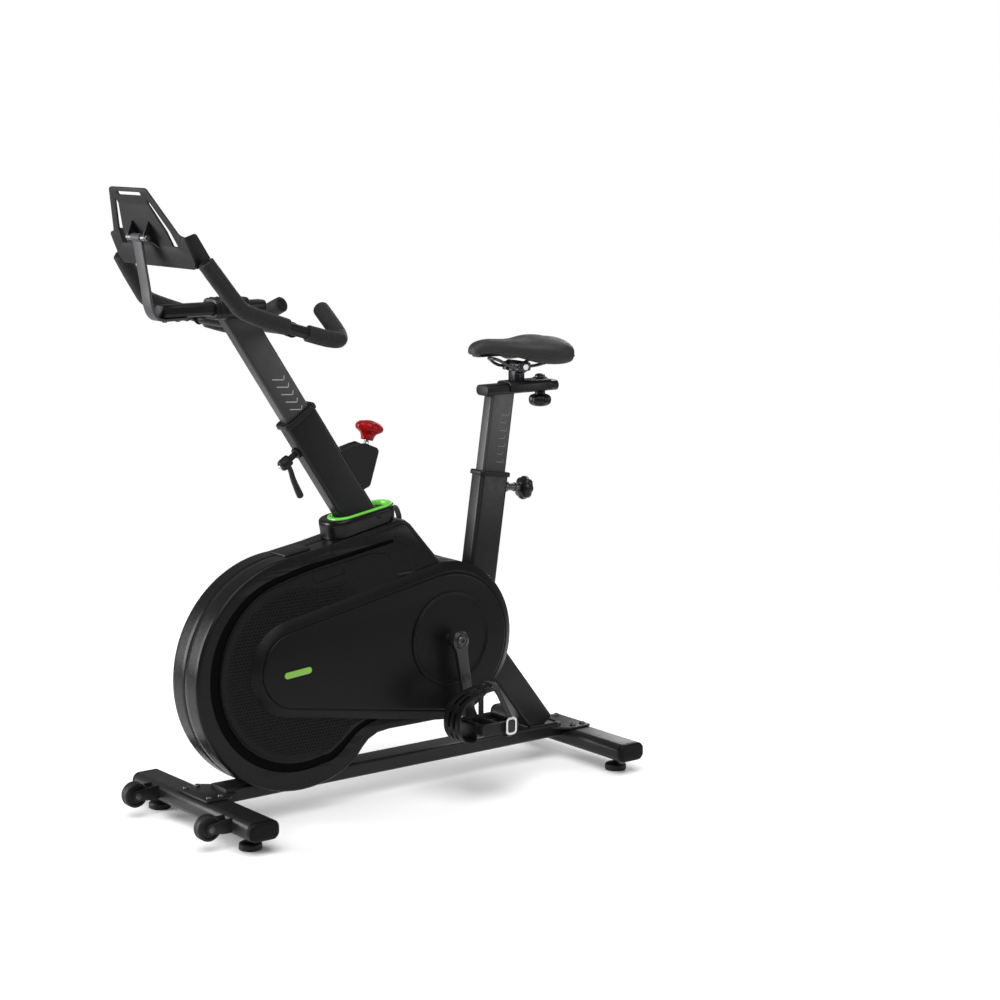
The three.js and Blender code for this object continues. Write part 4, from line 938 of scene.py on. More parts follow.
for x0, x1, nm in ((-618, -622, "front"), (-403, -399.4, "rear")):
    d = -1 if x1 < x0 else 1
    rows = [(x0, 0.6), (x0 + d * 0.4, 0), (x0 + d * 2.2, 0.1), (x0 + d * 3.0, 0.8), (x0 + d * 3.5, 2.2)]
    piece("slider_plug_" + nm, loft([[(x, y, z) for y, z in inset(oval, k)] for x, k in rows]), "bars", "moulded", sharp=50)
BAR = [(-616, -156, 1109), (-590, -164, 1071), (-565, -171, 1036), (-556, -173.5, 1024), (-545, -175, 1015.5), (-530, -175.5, 1009), (-506, -175, 1000),
       (-470, -177, 988), (-435, -179, 976), (-400, -182, 965.5), (-372, -184.5, 957.5), (-356, -185, 954.5), (-343, -180, 954), (-334, -168, 957.5), (-327, -150, 965.5), (-318, -110, 983.5), (-309, -67, 1003)]
CROSS = [(-438, -178, 977), (-436, -155, 975), (-420, -125, 971), (-395, -88, 967), (-381, -50, 966), (-380, 0, 966), (-381, 50, 966), (-395, 88, 967), (-420, 125, 971), (-436, 155, 975), (-438, 178, 977)]
piece("cross_bar", sweep(CROSS, circ(11.3, 28), 90), "bars", "paint", sharp=50)
piece("cross_bar_web", [ext(rounded([(-414, 998), (-401, 998), (-376, 972), (-384, 964)], 2, 4), -12, 12, side)], "bars", "paint", bevel=1.2, seg=3)
for s, sd in ((-1, "left"), (1, "right")):
    fix = (lambda g: g) if s < 0 else mirror
    piece(sd + "_bar_tube", fix(sweep(BAR, circ(11.3, 28), 110)), "bars", "paint", sharp=50)
    piece(sd + "_bar_joint_weld", fix(bead([(-438 + 13 * C(rad(a)), -167.6 + 1.6 * S(rad(a * 2)), 976.4 + 13 * S(rad(a))) for a in range(0, 361, 30)], 1.8, 60)), "bars", "paint", sharp=80)

    def bulge(s_mm):
        return 1.0 + 0.012 * S(s_mm * 0.045) + 0.004 * S(s_mm * 0.31)
    piece(sd + "_front_foam", fix(sweep(BAR, circ(15.8, 36), 90, 0.0025, 0.47, dome=3.2, ribs=bulge)), "bars", "foam", [sd + "_front_grip"], sharp=70)
    piece(sd + "_rear_foam", fix(sweep(BAR, circ(15.8, 36), 110, 0.556, 0.9975, dome=3.2, ribs=bulge)), "bars", "foam", [sd + "_rear_grip"], sharp=70)
    # end plugs of the bars
    for k, (p, q) in enumerate((((-616, -156, 1109), (-590, -164, 1071)), ((-309, -67, 1003), (-318, -110, 983.5)))):
        a, b = Vector(p), Vector(q)
        t = (a - b).normalized()
        u = Vector((0, 1, 0)).cross(t).normalized() if k == 0 else Vector((0, 0, 1)).cross(t).normalized()
        w = t.cross(u)
        to = lambda x, y, z, a=a, u=u, w=w, t=t: tuple(a + u * x + w * y + t * z)
        piece("%s_bar_plug_%d" % (sd, k), fix(lathe([(0, -3), (9, -3), (9.6, -1.4), (9.4, 0.1), (7.4, 0.55), (3.0, 0.7), (0, 0.7)], 32, to)), "bars", "moulded", sharp=60)

# ------------------------------------------------------------------ tray and its arm
ARM = [(-664, 1140), (-657, 1095), (-650, 1052), (-648, 1034), (-645, 1018), (-640, 1005), (-632, 996), (-622, 992.7), (-600, 992.7), (-570, 992.7)]
arm_line = [(p.x, p.z) for p in curve([(x, 0, z) for x, z in ARM], 60)[0]]
piece("tray_arm_strap", [ext(strip(arm_line, 5), -16, 16, side), lathe([(0, -16), (7.4, -16), (8, -15.4), (8, 15.4), (7.4, 16), (0, 16)], 40, ax_y(-664, 1147))], "bars", "arm", ["tray_arm"], bevel=1.0, seg=3, angle=50)
piece("arm_screws", [hexbolt(lambda u, v, w, x=x: (x + u, v, 990.2 - w), 5, 3.2, 0) for x in (-612, -584)], "bars", "dark_steel", sharp=35)
TR = leaned(-664, 0, 1147, -23.9)
half = [(67, 92), (120, 0), (138, -4), (141, -52), (131, -67)]
plate = rounded(half + [(-y, z) for y, z in half[::-1]], [10, 14, 8, 10, 5, 5, 10, 8, 14, 10], 6)
slots = [rounded([(-43, 76.5), (43, 76.5), (43, 84.5), (-43, 84.5)], 2.6, 5),
         rounded([(-57, 72), (-66, 62), (-96, 8), (-104, -24), (-84, -24), (-80, 6), (-55, 60)], 2.4, 4),
         rounded([(57, 72), (55, 60), (80, 6), (84, -24), (104, -24), (96, 8), (66, 62)], 2.4, 4)]
tray_to = (lambda u, v, w: TR(w, u, v))
piece("tray_plate", [ext(plate, 17.1, 20.9, tray_to, slots)], "tray_unit", "tray", ["tray"], bevel=0.9, seg=2, angle=50, sharp=24)
lip = rounded([(20.2, -62.6), (53, -62.6), (53, -50), (49.4, -50), (49.4, -59.2), (20.2, -59.2)], [0, 3.4, 1.6, 1.6, 2.0, 0], 5)
piece("tray_lip", ext([(a, b - 4) for a, b in lip], -128, 128, (lambda u, v, w: TR(u, w, v))), "tray_unit", "moulded", bevel=0.8, seg=2, angle=50)
pads = []
for y in (-92, -46, 0, 46, 92):
    pads.append(ext(rrect(26, 14, 4, 5, y, 0), 0, 1.4, (lambda u, v, w: TR(30 + v, u, -63.2 + w))))
piece("tray_grip_pads", pads, "tray_unit", "rubber", bevel=0.5, seg=2)
gus = rounded([(18, 28), (-2, 9), (-7, 1), (-5, -6), (6, -10), (18, -30)], [0, 6, 5, 5, 6, 0], 6)
for a, b, nm in ((-33, -27, "left"), (27, 33, "right")):
    piece("tray_gusset_" + nm, ext(gus, a, b, (lambda u, v, w: TR(u, w, v))), "tray_unit", "moulded", bevel=0.9, seg=3)
piece("tray_pin", lathe([(0, -37), (4.6, -37), (5.4, -36), (5.4, -33.2), (6.6, -33), (6.6, -27.2), (6.0, -27), (6.0, -18.4), (5.6, -18), (4, -17.6), (4, 17.6), (5.6, 18), (6.0, 18.4), (6.0, 27), (6.6, 27.2), (6.6, 33), (5.4, 33.2), (5.4, 36), (4.6, 37), (0, 37)], 40, lambda u, v, w: TR(u, w, v)), "tray_unit", "pin", sharp=35)
# wings at both lower corners, bent towards the rider
wing = rounded([(18.5, -66.5), (50.5, -66.5), (52.5, -60), (44, -6), (18.5, -3)], [2, 6, 5, 6, 2], 6)
for s_, sd in ((-1, "left"), (1, "right")):
    piece("tray_wing_" + sd, ext(wing, s_ * 133.4, s_ * 137.2, (lambda u, v, w: TR(u, w, v))), "tray_unit", "moulded", bevel=0.9, seg=3)
# ------------------------------------------------------------------ seat post, carriage, knobs
top = (806 - 627) / C(rad(8.5))
piece("seat_post_tube", tube(60, 30, 6, -150, top, SEAT, 8), "saddle_post", "post", ["seat_post"], bevel=0.4, seg=2)
so = rrect(42, 22, 10.5, 10, 0, 806)
piece("seat_slider_tube", ext(so, 133, 317, ax_x(0, 0)), "saddle_post", "paint", bevel=0.4, seg=2)
for x0, d, nm in ((133, -1, "front"), (317, 1, "rear")):
    rows = [(x0, 0.6), (x0 + d * 0.3, 0), (x0 + d * 1.0, 0.1), (x0 + d * 1.6, 0.7), (x0 + d * 2.0, 2.0)]
    piece("seat_slider_plug_" + nm, loft([[(x, y, z) for y, z in inset(so, k)] for x, k in rows]), "saddle_post", "moulded", sharp=50)
ch = rounded([(-25, 799), (-21.5, 799), (-21.5, 817.5), (21.5, 817.5), (21.5, 799), (25, 799), (25, 821.4), (-25, 821.4)], [1.2, 1.2, 8.5, 8.5, 1.2, 1.2, 10.5, 10.5], 8)
piece("carriage_channel", ext(ch, 188, 297, ax_x(0, 0)), "carriage", "paint", ["seat_carriage"], bevel=0.8, seg=2)
stem = rounded([(208, 828), (234, 828), (234, 838), (236, 845), (233.3, 842.4)], 0, 3)
cl = [(208, 821)] + [(234, 821), (234, 838)] + arc(221, 851, 15, -35, -145, 16) + [(208, 838)]
piece("carriage_stem", [ext(cl, -11, 11, side), lathe([(0, 820), (14.6, 820), (14.6, 824), (13, 826), (13, 833), (0, 833)], 40, ax_z(221, 0))], "carriage", "paint", bevel=0.6, seg=2, angle=45)
piece("carriage_dome_nut", lathe([(0, 821), (15, 821), (15.4, 821.4), (15.4, 822.6), (14.6, 823.6), (11.4, 824.2), (11, 827.4), (9.8, 829.2), (6, 830.6), (2, 831.2), (0, 831.3)], 6 * 8, ax_z(284, 0)), "carriage", "dark_steel", sharp=35)
SK = ax_z(284, 0)


def lobed(prof, n, to, lo, hi, lobes, depth, rmin):
    v, f = lathe(prof, n, lambda u, w, h: (u, w, h))
    out = []
    for x, y, z in v:
        r = math.hypot(x, y)
        if r > rmin and lo < z < hi:
            a = math.atan2(y, x)
            k = 1 - depth * (0.5 - 0.5 * C(a * lobes)) ** 1.5
            x, y = x * k, y * k
        out.append(to(x, y, z))
    return out, f


piece("slider_knob_body", lobed([(0, -44), (11, -43.6), (14, -43), (18.5, -41), (21.6, -38.4), (23.4, -35), (24, -30), (24, -27), (23, -23.4), (20, -20), (15, -18.6), (11, -18), (11, -12.3), (4, -12.3), (4, 19), (0, 19)], 84, lambda u, w, h: SK(u, w, h + 806), -42, -19, 7, 0.10, 15),
      "slider_knob", "knob", ["seat_slider_knob"], sharp=55)
PN = leaned(151.4 + S(rad(8.5)) * -21 + C(rad(8.5)) * 36, 0, 627 + C(rad(8.5)) * -21 - S(rad(8.5)) * 36, 98.5)
piece("pin_knob_body", lobed([(0, 43.5), (9, 43.5), (14, 46), (20, 48.6), (23.6, 51.6), (25, 55), (25, 61.6), (23.6, 65), (20.4, 67.6), (14, 69.6), (12.6, 69.3), (11, 70.1), (5, 70.9), (0, 71)], 84, PN, 48, 69, 8, 0.085, 16),
      "pin_knob", "knob", ["seat_pin_knob"], sharp=55)
piece("pin_sleeve", lathe([(0, 0.3), (11, 0.3), (11.8, 1.6), (12, 4), (11.6, 10), (9.6, 12), (8.6, 13), (8.0, 15), (8.0, 30), (9.6, 31), (9.6, 35.6), (8.0, 36.4), (8.0, 44), (0, 44)], 48, PN), "pin_knob", "dark_steel", sharp=40)
# scale marks on both sides of the two posts
def bar_mark(a, b, w, y, to=None):
    dx, dz = b[0] - a[0], b[1] - a[1]
    l = math.hypot(dx, dz)
    nx, nz = -dz / l * w / 2, dx / l * w / 2
    s = -1 if y < 0 else 1
    return prism([(a[0] + nx, a[1] + nz), (b[0] + nx, b[1] + nz), (b[0] - nx, b[1] - nz), (a[0] - nx, a[1] - nz)], y, y + s * 0.12)


MARKS = [(-361.2, 863.9), (-351.1, 848.9), (-341.2, 833.8), (-331.4, 818.5), (-321.4, 803.3)]
geos = []
for cx, cz in MARKS:
    for y in (-15.02, 15.02):
        geos.append(bar_mark((cx - 26.2, cz + 1.8), (cx, cz), 1.7, y))
        geos.append(bar_mark((cx + 0.2, cz + 0.7), (cx + 0.7, cz + 8.4), 1.7, y))
piece("post_scale_marks", geos, "bar_post", "mark", sharp=30)
t6 = (S(rad(8.5)), C(rad(8.5)))
n6 = (C(rad(8.5)), -S(rad(8.5)))
geos = []
for i in range(7):
    h = 30 + i * 16.4
    cx, cz = 151.4 + t6[0] * h, 627 + t6[1] * h
    a = (cx - n6[0] * 0, cz - n6[1] * 0)
    b = (cx + n6[0] * (18 if i % 2 == 0 else 14), cz + n6[1] * (18 if i % 2 == 0 else 14))
    for y in (-15.02, 15.02):
        geos.append(bar_mark(a, b, 1.2, y))
        geos.append(bar_mark((b[0] - t6[0] * 0.6, b[1] - t6[1] * 0.6), (b[0] + t6[0] * 6, b[1] + t6[1] * 6), 1.2, y))
piece("seat_post_scale_marks", geos, "saddle_post", "mark_faint", sharp=30)

# ------------------------------------------------------------------ cranks, pedals, cages
a9 = rad(9)


def crank(sgn, name):
    k = 1 if sgn < 0 else -1
    ux, uz = S(a9) * k, -C(a9) * k
    to2 = lambda s, w: (s * ux - w * uz, 314 + s * uz + w * ux)
    y0, y1 = (-103.6, -88.2) if sgn < 0 else (88.2, 103.6)
    cs = [C(rad(t)) for t in range(0, 360, 10)]
    # arm as rings of a rounded section, waisted in the middle
    rings = []
    for s, hw, t in ((-19.6, 5, 0.70), (-18.4, 9.5, 0.82), (-15, 14, 0.92), (-8, 18.2, 0.98), (0, 19.8, 1.0), (8, 18.6, 1.0), (16, 15.4, 0.98), (26, 13.2, 0.95), (50, 12.4, 0.92), (90, 11.8, 0.9), (130, 11.4, 0.88), (150, 12.2, 0.9), (158, 14.0, 0.94), (165, 15.6, 0.98), (172, 15.9, 1.0), (178, 14.2, 0.96), (183, 9.8, 0.86), (185.6, 4.6, 0.72)):
        cy, hy = (y0 + y1) / 2, (y1 - y0) / 2 * t
        ring = []
        for u, v in rrect(2 * hw, 2 * hy, min(3.2, hw * 0.6, hy * 0.6), 5):
            x, z = to2(s, u)
            ring.append((x, cy + v, z))
        rings.append(ring)
    arm = loft(rings)
    boss = lathe([(0, 80.4), (17.6, 80.4), (18.4, 81.2), (18.6, 88), (18.4, 100), (16.5, 104), (13.2, 105.2), (12.4, 104.4), (0, 104.2)], 48, (lambda u, v, w: (u, sgn * w, 314 + v)))
    ob = piece(name + "_crank_arm", [arm], "crank", "crank", [name + "_crank"], sharp=50)
    piece(name + "_crank_boss", boss, "crank", "crank", sharp=45)
    piece(name + "_crank_bolt", lathe([(0, 100), (9.4, 100), (9.4, 105), (8.2, 106.6), (5.2, 106.8), (4.8, 103.6), (0, 103.2)], 36, (lambda u, v, w: (u, sgn * w, 314 + v))), "crank", "dark_steel", sharp=35)
    ex, ez = to2(170, 0)
    piece(name + "_pedal_axle", lathe([(0, 87.0), (6.4, 87.0), (6.4, 103.8), (8.6, 104.2), (9.4, 104.8), (9.4, 108.4), (8.4, 109), (6.0, 109.4), (5.8, 150), (0, 150)], 36, (lambda u, v, w: (ex + u, sgn * w, ez + v))), "crank", "steel", [name + "_pedal_spindle"], sharp=35)
    return ex, ez


for sgn, name in ((-1, "left"), (1, "right")):
    ex, ez = crank(sgn, name)
    body = name + "_pedal_unit"
    px, pz = (26.6, 146.1) if sgn < 0 else (-26.6, 481.9)
    to = (lambda u, v, w, px=px, pz=pz, sgn=sgn: (px + u, sgn * 156 + sgn * w, pz + v))
    geos = []
    # inner and outer end plates, spindle barrel, front and rear treads with teeth
    endp = rounded([(-46, -8), (-38, -12), (38, -12), (46, -8), (46, 8), (38, 12), (-38, 12), (-46, 8)], 4, 5)
    geos.append(ext(endp, -42, -33.4, to))
    geos.append(ext(endp, 33.4, 42, to))
    piece(name + "_pedal_ends", geos, body, "moulded", [name + "_pedal"], bevel=1.0, seg=3)
    piece(name + "_pedal_barrel", lathe([(7.0, -41), (12, -41), (12.4, -40), (12.4, -36), (11.2, -33), (10.6, -10), (10.6, 10), (11.2, 33), (12.4, 36), (12.4, 40), (12, 41.6), (4, 42.4), (0, 42.6), (0, 40), (7.0, 40)], 40, to, closed=True), body, "moulded", sharp=45)
    geos = []
    for u0 in (-41, 41):
        geos.append(ext(rounded([(u0 - 5, -9), (u0 + 5, -9), (u0 + 5, 9), (u0 - 5, 9)], 2.4, 4), -34, 34, to))
        for k in range(7):
            w = -30 + k * 10
            for sg in (-1, 1):
                geos.append(ext([(u0 - 4, sg * 8), (u0 + 4, sg * 8), (u0 + 2.6, sg * 11.6), (u0 - 2.6, sg * 11.6)], w - 2.2, w + 2.2, to))
    for w in (-17, 17):
        geos.append(ext(rounded([(-40, -3.4), (40, -3.4), (40, 3.4), (-40, 3.4)], 1.2, 3), w - 2.0, w + 2.0, to))
    piece(name + "_pedal_treads", geos, body, "moulded", bevel=0.6, seg=2)
    refl = []
    for u0 in (-46.4, 46.4):
        d = -0.9 if u0 < 0 else 0.9
        refl.append(ext(rrect(46, 11, 2, 4), 0, 1, (lambda a, b, c, u0=u0, d=d: to(u0 + d * (c - 1) * 1.0, b, a))))
    # toe cage: two moulded side rails joined over the toe, with openings between
    cl = [(-47.9, -22), (-58, -25), (-76, -19), (-88, -2), (-90, 22), (-82, 46), (-64, 62), (-44, 70), (-20, 75), (2, 77)]
    cline = [(p.x, p.z) for p in curve([(x, 0, z) for x, z in cl], 70)[0]]
    geos = []
    outer_l = strip(cline, 3.4)
    for w0, w1 in ((-27, -12.5), (12.5, 27), (-4.5, 4.5)):
        geos.append(ext(outer_l, w0, w1, to))
    for i0, i1 in ((0, 9), (17, 23), (33, 40), (50, 57), (63, 71)):
        seg = strip(cline[i0:i1], 3.0)
        geos.append(ext(seg, -14, 14, to))
    geos.append(ext(rounded([(-49.5, -23.5), (-46.5, -23.5), (-46.5, 10), (-49.5, 10)], 1, 3), -27, 27, to))
    piece(name + "_toe_clip", geos, body, "moulded", [name + "_toe_cage"], bevel=0.7, seg=2, angle=50)
    # dark sheet behind the openings of the cage: painted shade, so that the openings read deep and dark
    piece(name + "_cage_shade_sheet", ext(strip(cline[3:52], 1.2), -13, 13, to), body, "painted_shade", sharp=40)
    ring = rounded([(49, -19), (49, 14), (-4, 79), (-38, 79), (-49, 62), (-49, -19)][::-1], [12, 12, 16, 14, 16, 12][::-1], 8)
    strap = ext(ring, 14.4, 26.6, (lambda a, b, c, to=to: to(c, b, a)), [inset(ring, 2.2)])
    piece(name + "_toe_strap", strap, body, "strap", bevel=0.7, seg=2)
    # buckle on the outer side: a wire frame
    bo = rrect(27, 36, 9, 8, 21, 4)
    bi = rrect(18, 27, 5.5, 8, 21, 4)
    piece(name + "_buckle", ext(bo, 49.0, 51.6, (lambda a, b, c, to=to: to(a, b, c)), [bi]), body, "steel", bevel=0.8, seg=3, angle=50)

# ------------------------------------------------------------------ saddle
def station(x):
    st = [(102, 889, 8, 5, 4), (105, 889, 16, 11, 9), (114, 890, 20, 18, 11), (140, 893, 24, 20, 14), (172, 893, 31, 19, 21), (204, 892, 45, 18, 30), (232, 891, 63, 20, 43),
          (258, 891, 80, 23, 46), (284, 890, 87, 24, 44), (308, 888, 83, 23, 37), (321, 886, 70, 19, 28), (328, 885, 52, 13, 18), (330, 885, 42, 7, 11)]
    if x <= st[0][0]:
        return st[0]
    for i, (a, b) in enumerate(zip(st, st[1:])):
        if a[0] <= x <= b[0]:
            f = (x - a[0]) / (b[0] - a[0])
            if 1 <= i <= len(st) - 4:
                # smooth through the stations
                p, q = st[i - 1], st[i + 2]
                out = []
                for k in range(5):
                    m0 = (b[k] - p[k]) / (b[0] - p[0]) * (b[0] - a[0])
                    m1 = (q[k] - a[k]) / (q[0] - a[0]) * (b[0] - a[0])
                    out.append((2 * f ** 3 - 3 * f * f + 1) * a[k] + (f ** 3 - 2 * f * f + f) * m0 + (3 * f * f - 2 * f ** 3) * b[k] + (f ** 3 - f * f) * m1)
                return tuple(out)
            return tuple(a[k] + (b[k] - a[k]) * f for k in range(5))
    return st[-1]


def ease(x, a, b):
    t = max(0.0, min(1.0, (x - a) / (b - a)))
    return t * t * (3 - 2 * t)


def saddle_rings(grow, xs, low):
    rings = []
    for x in xs:
        _, z, w, up, dn = station(x)
        ring = []
        for i in range(72):
            a = 2 * math.pi * i / 72
            c, s = C(a), S(a)
            y = (w + grow) * math.copysign(abs(c) ** 0.74, c)
            sd = abs(y) / max(1, w)
            zz = z + ((up if s > 0 else dn) + grow) * math.copysign(abs(s) ** 0.74, s) - 9 * sd * sd * (w / 90)
            if s > 0:
                ch = math.exp(-(y / 8.5) ** 2) * 3.0 * ease(x, 150, 200) * (1 - ease(x, 292, 326))
                zz -= ch
            else:
                # the underside is hollow between the skirt that hangs down each side
                lift = 1 - ease(abs(y), w * 0.70, w * 0.88)
                zz += (max(zz, low(x)) - zz) * lift
            ring.append((x, y, zz))
        rings.append(ring)
    return rings


XS = [102.4, 103.2, 104.4, 107, 111, 117, 125, 135, 147, 160, 174, 188, 202, 216, 230, 244, 257, 270, 282, 293, 303, 311, 317.5, 322.5, 326, 328.2, 329.4]
under = (lambda x: 874 if x < 160 else 874 - 5 * min(1, (x - 160) / 100))
pad = piece("saddle_pad", loft(saddle_rings(-1.4, XS, lambda x: under(x) + 3.0)), "saddle_unit", "leather", ["saddle"], sharp=75)


def pressed_pad(ob, steps=20, cap=0.004):
    """fills the pad with a little pressure so that the cover swells between its seam and the shell"""
    base = [v.co.copy() for v in ob.data.vertices]
    m = ob.modifiers.new("cloth", "CLOTH")
    cs = m.settings
    cs.use_pressure = True
    cs.uniform_pressure_force = 2.0
    cs.quality = 5
    cs.mass = 0.4
    cs.tension_stiffness = cs.compression_stiffness = 40
    cs.shear_stiffness = 20
    cs.bending_stiffness = 2.0
    cs.effector_weights.gravity = 0
    low = ob.vertex_groups.new(name="pin")
    z0 = min(v.co.z for v in ob.data.vertices)
    for v in ob.data.vertices:
        z = v.co.z - z0
        low.add([v.index], 1.0 if z < 0.024 else max(0.0, 0.85 - (z - 0.024) * 30), "REPLACE")
    cs.vertex_group_mass = "pin"
    sc = bpy.context.scene
    sc.frame_set(1)
    for f in range(1, steps + 1):
        sc.frame_set(f)
    dg = bpy.context.evaluated_depsgraph_get()
    me = bpy.data.meshes.new_from_object(ob.evaluated_get(dg))
    ob.modifiers.clear()
    sc.frame_set(1)
    for v, b in zip(me.vertices, base):
        d = v.co - b
        if d.length > cap:
            v.co = b + d * (cap / d.length)
    ob.data = me
    ob.vertex_groups.clear()
    return ob


pressed_pad(pad)
s = pad.modifiers.new("s", "SUBSURF")
s.levels = s.render_levels = 1
dg = bpy.context.evaluated_depsgraph_get()
me = bpy.data.meshes.new_from_object(pad.evaluated_get(dg))
pad.modifiers.clear()
pad.data = me
me.shade_smooth()

# moulded base under the pad, and the piped seam where the cover meets it
def rim(x, grow, drop):
    _, z, w, up, dn = station(x)
    return (w + grow), z - drop


base_rings = []
for x in XS:
    _, z, w, up, dn = station(x)
    zt = under(x) + 3.2
    f = 0.74
    ring = []
    for i in range(32):
        a = 2 * math.pi * i / 32
        c, s_ = C(a), S(a)
        y = w * f * math.copysign(abs(c) ** 0.6, c)
        sd = abs(y) / max(1, w)
        h = 2.2 if s_ > 0 else 2.6
        ring.append((x, y, zt + 1.2 + h * math.copysign(abs(s_) ** 0.6, s_)))
    base_rings.append(ring)
keep = [r for i, r in enumerate(base_rings) if 5 <= i <= len(base_rings) - 6]
piece("saddle_base", loft(keep), "saddle_unit", "moulded", sharp=60)
seam = []
for x in XS[4:-3]:
    _, z, w, up, dn = station(x)
    seam.append((x, -(w - 1.4) * 0.992, z - 9 * (w / 90) - dn * 0.22))
back = [(p[0], -p[1], p[2]) for p in seam[::-1]]
z1 = seam[-1][2]
line = seam + [(328.6, -38, z1 + 1.5), (329.8, -16, z1 + 2.5), (329.8, 16, z1 + 2.5), (328.6, 38, z1 + 1.5)] + back + [(104.2, 9, 885.6), (103.0, 0, 885.4), (104.2, -9, 885.6)]
line.append(line[0])
piece("saddle_piping", sweep(line, circ(0.9, 10), 260), "saddle_unit", "leather", sharp=80)

for s_, sd in ((-1, "left"), (1, "right")):
    path = [(154, 0, 871.2), (156.5, s_ * 10, 870.5), (166, s_ * 17, 866), (180, s_ * 20.5, 857.5), (193, s_ * 21.5, 852.4), (206, s_ * 21.5, 851), (238, s_ * 21.5, 851), (254, s_ * 23, 852), (276, s_ * 30, 857), (298, s_ * 37, 863.5)]
    piece(sd + "_saddle_rail", sweep(path, circ(3.3, 20), 80, dome=1.5), "saddle_unit", "dark_steel", ["saddle_rails"] if s_ < 0 else (), sharp=60)
    ear = rounded([(204, 842), (238, 842), (238, 860), (204, 860)], 4, 5)
    a, b = (-27, -13.5) if s_ < 0 else (13.5, 27)
    piece(sd + "_rail_clamp", ext(ear, a, b, side), "saddle_unit", "dark_steel", bevel=1.2, seg=3)
piece("clamp_barrel", lathe([(0, -29), (8, -29), (11, -28), (12, -26), (12, 26), (11, 28), (8, 29), (0, 29)], 48, ax_y(221, 851)), "saddle_unit", "dark_steel", sharp=40)
piece("clamp_bolt", [lathe([(0, -33), (6.6, -33), (7.2, -32.4), (7.2, -29), (0, -29)], 6, ax_y(221, 851)), lathe([(0, 29), (6.8, 29), (6.8, 32), (5.4, 33.4), (0, 33.4)], 24, ax_y(221, 851))], "saddle_unit", "steel", sharp=30)

# ------------------------------------------------------------------ inner parts keep their frame shape
INNER = {"left_bearing": "steel", "right_bearing": "steel", "crank_spindle": "steel", "drive_pulley": "alloy", "flywheel_pulley": "alloy",
         "flywheel": "iron", "flywheel_axle": "steel", "drive_belt": "rubber", "brake_arm": "felt"}
for n, m in INNER.items():
    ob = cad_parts[n]
    ob.data.materials.clear()
    ob.data.materials.append(M[m])
    b = ob.modifiers.new("edge", "BEVEL")
    b.width = 0.0005
    b.segments = 2
    b.limit_method = "ANGLE"
    b.angle_limit = rad(40)

# ------------------------------------------------------------------ stage, light and camera
def floor_material():
    m, nt, b = nodes_of("pale_floor")
    v = coords(nt)
    link(nt, mixed(nt, noise(nt, v, 0.6, 3), (0.93, 0.93, 0.93), (0.95, 0.95, 0.95)), b.inputs["Base Color"])
    b.inputs["Roughness"].default_value = 0.6
    b.inputs["Specular IOR Level"].default_value = 0.2
    # the rim melts away, so that no horizon shows
    tc = nt.nodes.new("ShaderNodeTexCoord")
    ln = nt.nodes.new("ShaderNodeVectorMath")
    ln.operation = "LENGTH"
    link(nt, tc.outputs["Object"], ln.inputs[0])
    r = nt.nodes.new("ShaderNodeMapRange")
    r.interpolation_type = "SMOOTHSTEP"
    r.inputs["From Min"].default_value = 1.1
    r.inputs["From Max"].default_value = 2.6
    link(nt, ln.outputs["Value"], r.inputs["Value"])
    clear = nt.nodes.new("ShaderNodeBsdfTransparent")
    mx = nt.nodes.new("ShaderNodeMixShader")
    out = next(n for n in nt.nodes if n.type == "OUTPUT_MATERIAL")
    link(nt, r.outputs[0], mx.inputs[0])
    link(nt, b.outputs[0], mx.inputs[1])
    link(nt, clear.outputs[0], mx.inputs[2])
    link(nt, mx.outputs[0], out.inputs["Surface"])
    return m


fv = [(2.7 * C(2 * math.pi * i / 96), 2.7 * S(2 * math.pi * i / 96), -0.0005) for i in range(96)]
ff = [tuple(range(96))]
me = bpy.data.meshes.new("studio_floor")
me.from_pydata(fv, [], ff)
floor = bpy.data.objects.new("studio_floor", me)
COL.objects.link(floor)
me.materials.append(floor_material())
me.shade_smooth()

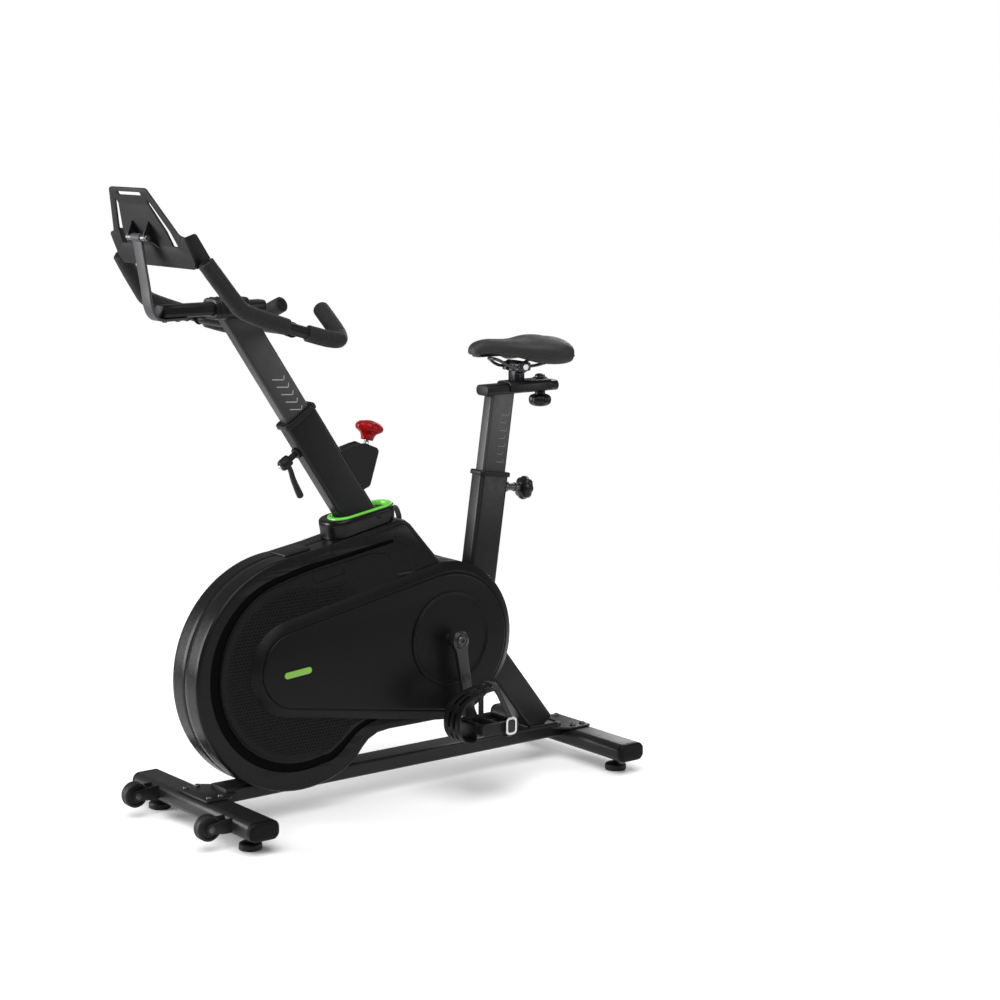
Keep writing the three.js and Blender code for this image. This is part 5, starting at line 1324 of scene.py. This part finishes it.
world = bpy.context.scene.world or bpy.data.worlds.new("world")
bpy.context.scene.world = world
world.use_nodes = True
bg = world.node_tree.nodes.get("Background") or world.node_tree.nodes.new("ShaderNodeBackground")
bg.inputs[0].default_value = (1, 1, 1, 1)
bg.inputs[1].default_value = 0.22
wt = world.node_tree
lp = wt.nodes.new("ShaderNodeLightPath")
white = wt.nodes.new("ShaderNodeBackground")
white.inputs[0].default_value = (1.0, 1.0, 1.0, 1)
white.inputs[1].default_value = 1.0
pick = wt.nodes.new("ShaderNodeMixShader")
out = next(n for n in wt.nodes if n.type == "OUTPUT_WORLD")
wt.links.new(lp.outputs["Is Camera Ray"], pick.inputs[0])
wt.links.new(bg.outputs[0], pick.inputs[1])
wt.links.new(white.outputs[0], pick.inputs[2])
wt.links.new(pick.outputs[0], out.inputs[0])
sun = bpy.data.lights.new("sky_sun", "SUN")
sun.energy = 2.9
sun.angle = rad(60)
so_ = bpy.data.objects.new("sky_sun", sun)
COL.objects.link(so_)
so_.rotation_euler = (rad(18), rad(-14), 0)


def area(name, loc, target, size, power, colour=(1, 1, 1)):
    l = bpy.data.lights.new(name, "AREA")
    l.shape = "RECTANGLE"
    l.size, l.size_y = size
    l.energy = power
    l.color = colour
    o = bpy.data.objects.new(name, l)
    COL.objects.link(o)
    o.location = loc
    d = Vector(target) - Vector(loc)
    o.rotation_euler = d.to_track_quat("-Z", "Y").to_euler()
    return o


area("front_box", (-3.0, 2.1, 1.2), (-0.3, 0, 0.5), (1.8, 2.0), 150)
area("side_box", (-1.6, -3.4, 2.4), (0, 0, 0.5), (1.8, 0.9), 16)
area("left_box", (3.2, -3.2, 1.3), (0.1, 0, 0.5), (1.8, 1.6), 34)
area("rear_box", (2.6, 1.6, 1.6), (0.1, 0, 0.6), (0.8, 2.2), 30)

U = Vector((0.100, 0.130, 0.986))
D = Vector((0.603, 0.781, -0.164)).normalized()
RR = D.cross(U).normalized()
UU = RR.cross(D).normalized()
cam = bpy.data.cameras.new("camera")
cam.lens = 86.3
cam.sensor_width = 36
cam.clip_end = 60
co = bpy.data.objects.new("camera", cam)
COL.objects.link(co)
co.matrix_world = Matrix(((RR.x, UU.x, -D.x, -2.69514), (RR.y, UU.y, -D.y, -3.914), (RR.z, UU.z, -D.z, 1.394), (0, 0, 0, 1)))
bpy.context.scene.camera = co
bpy.context.scene.view_settings.view_transform = "Standard"
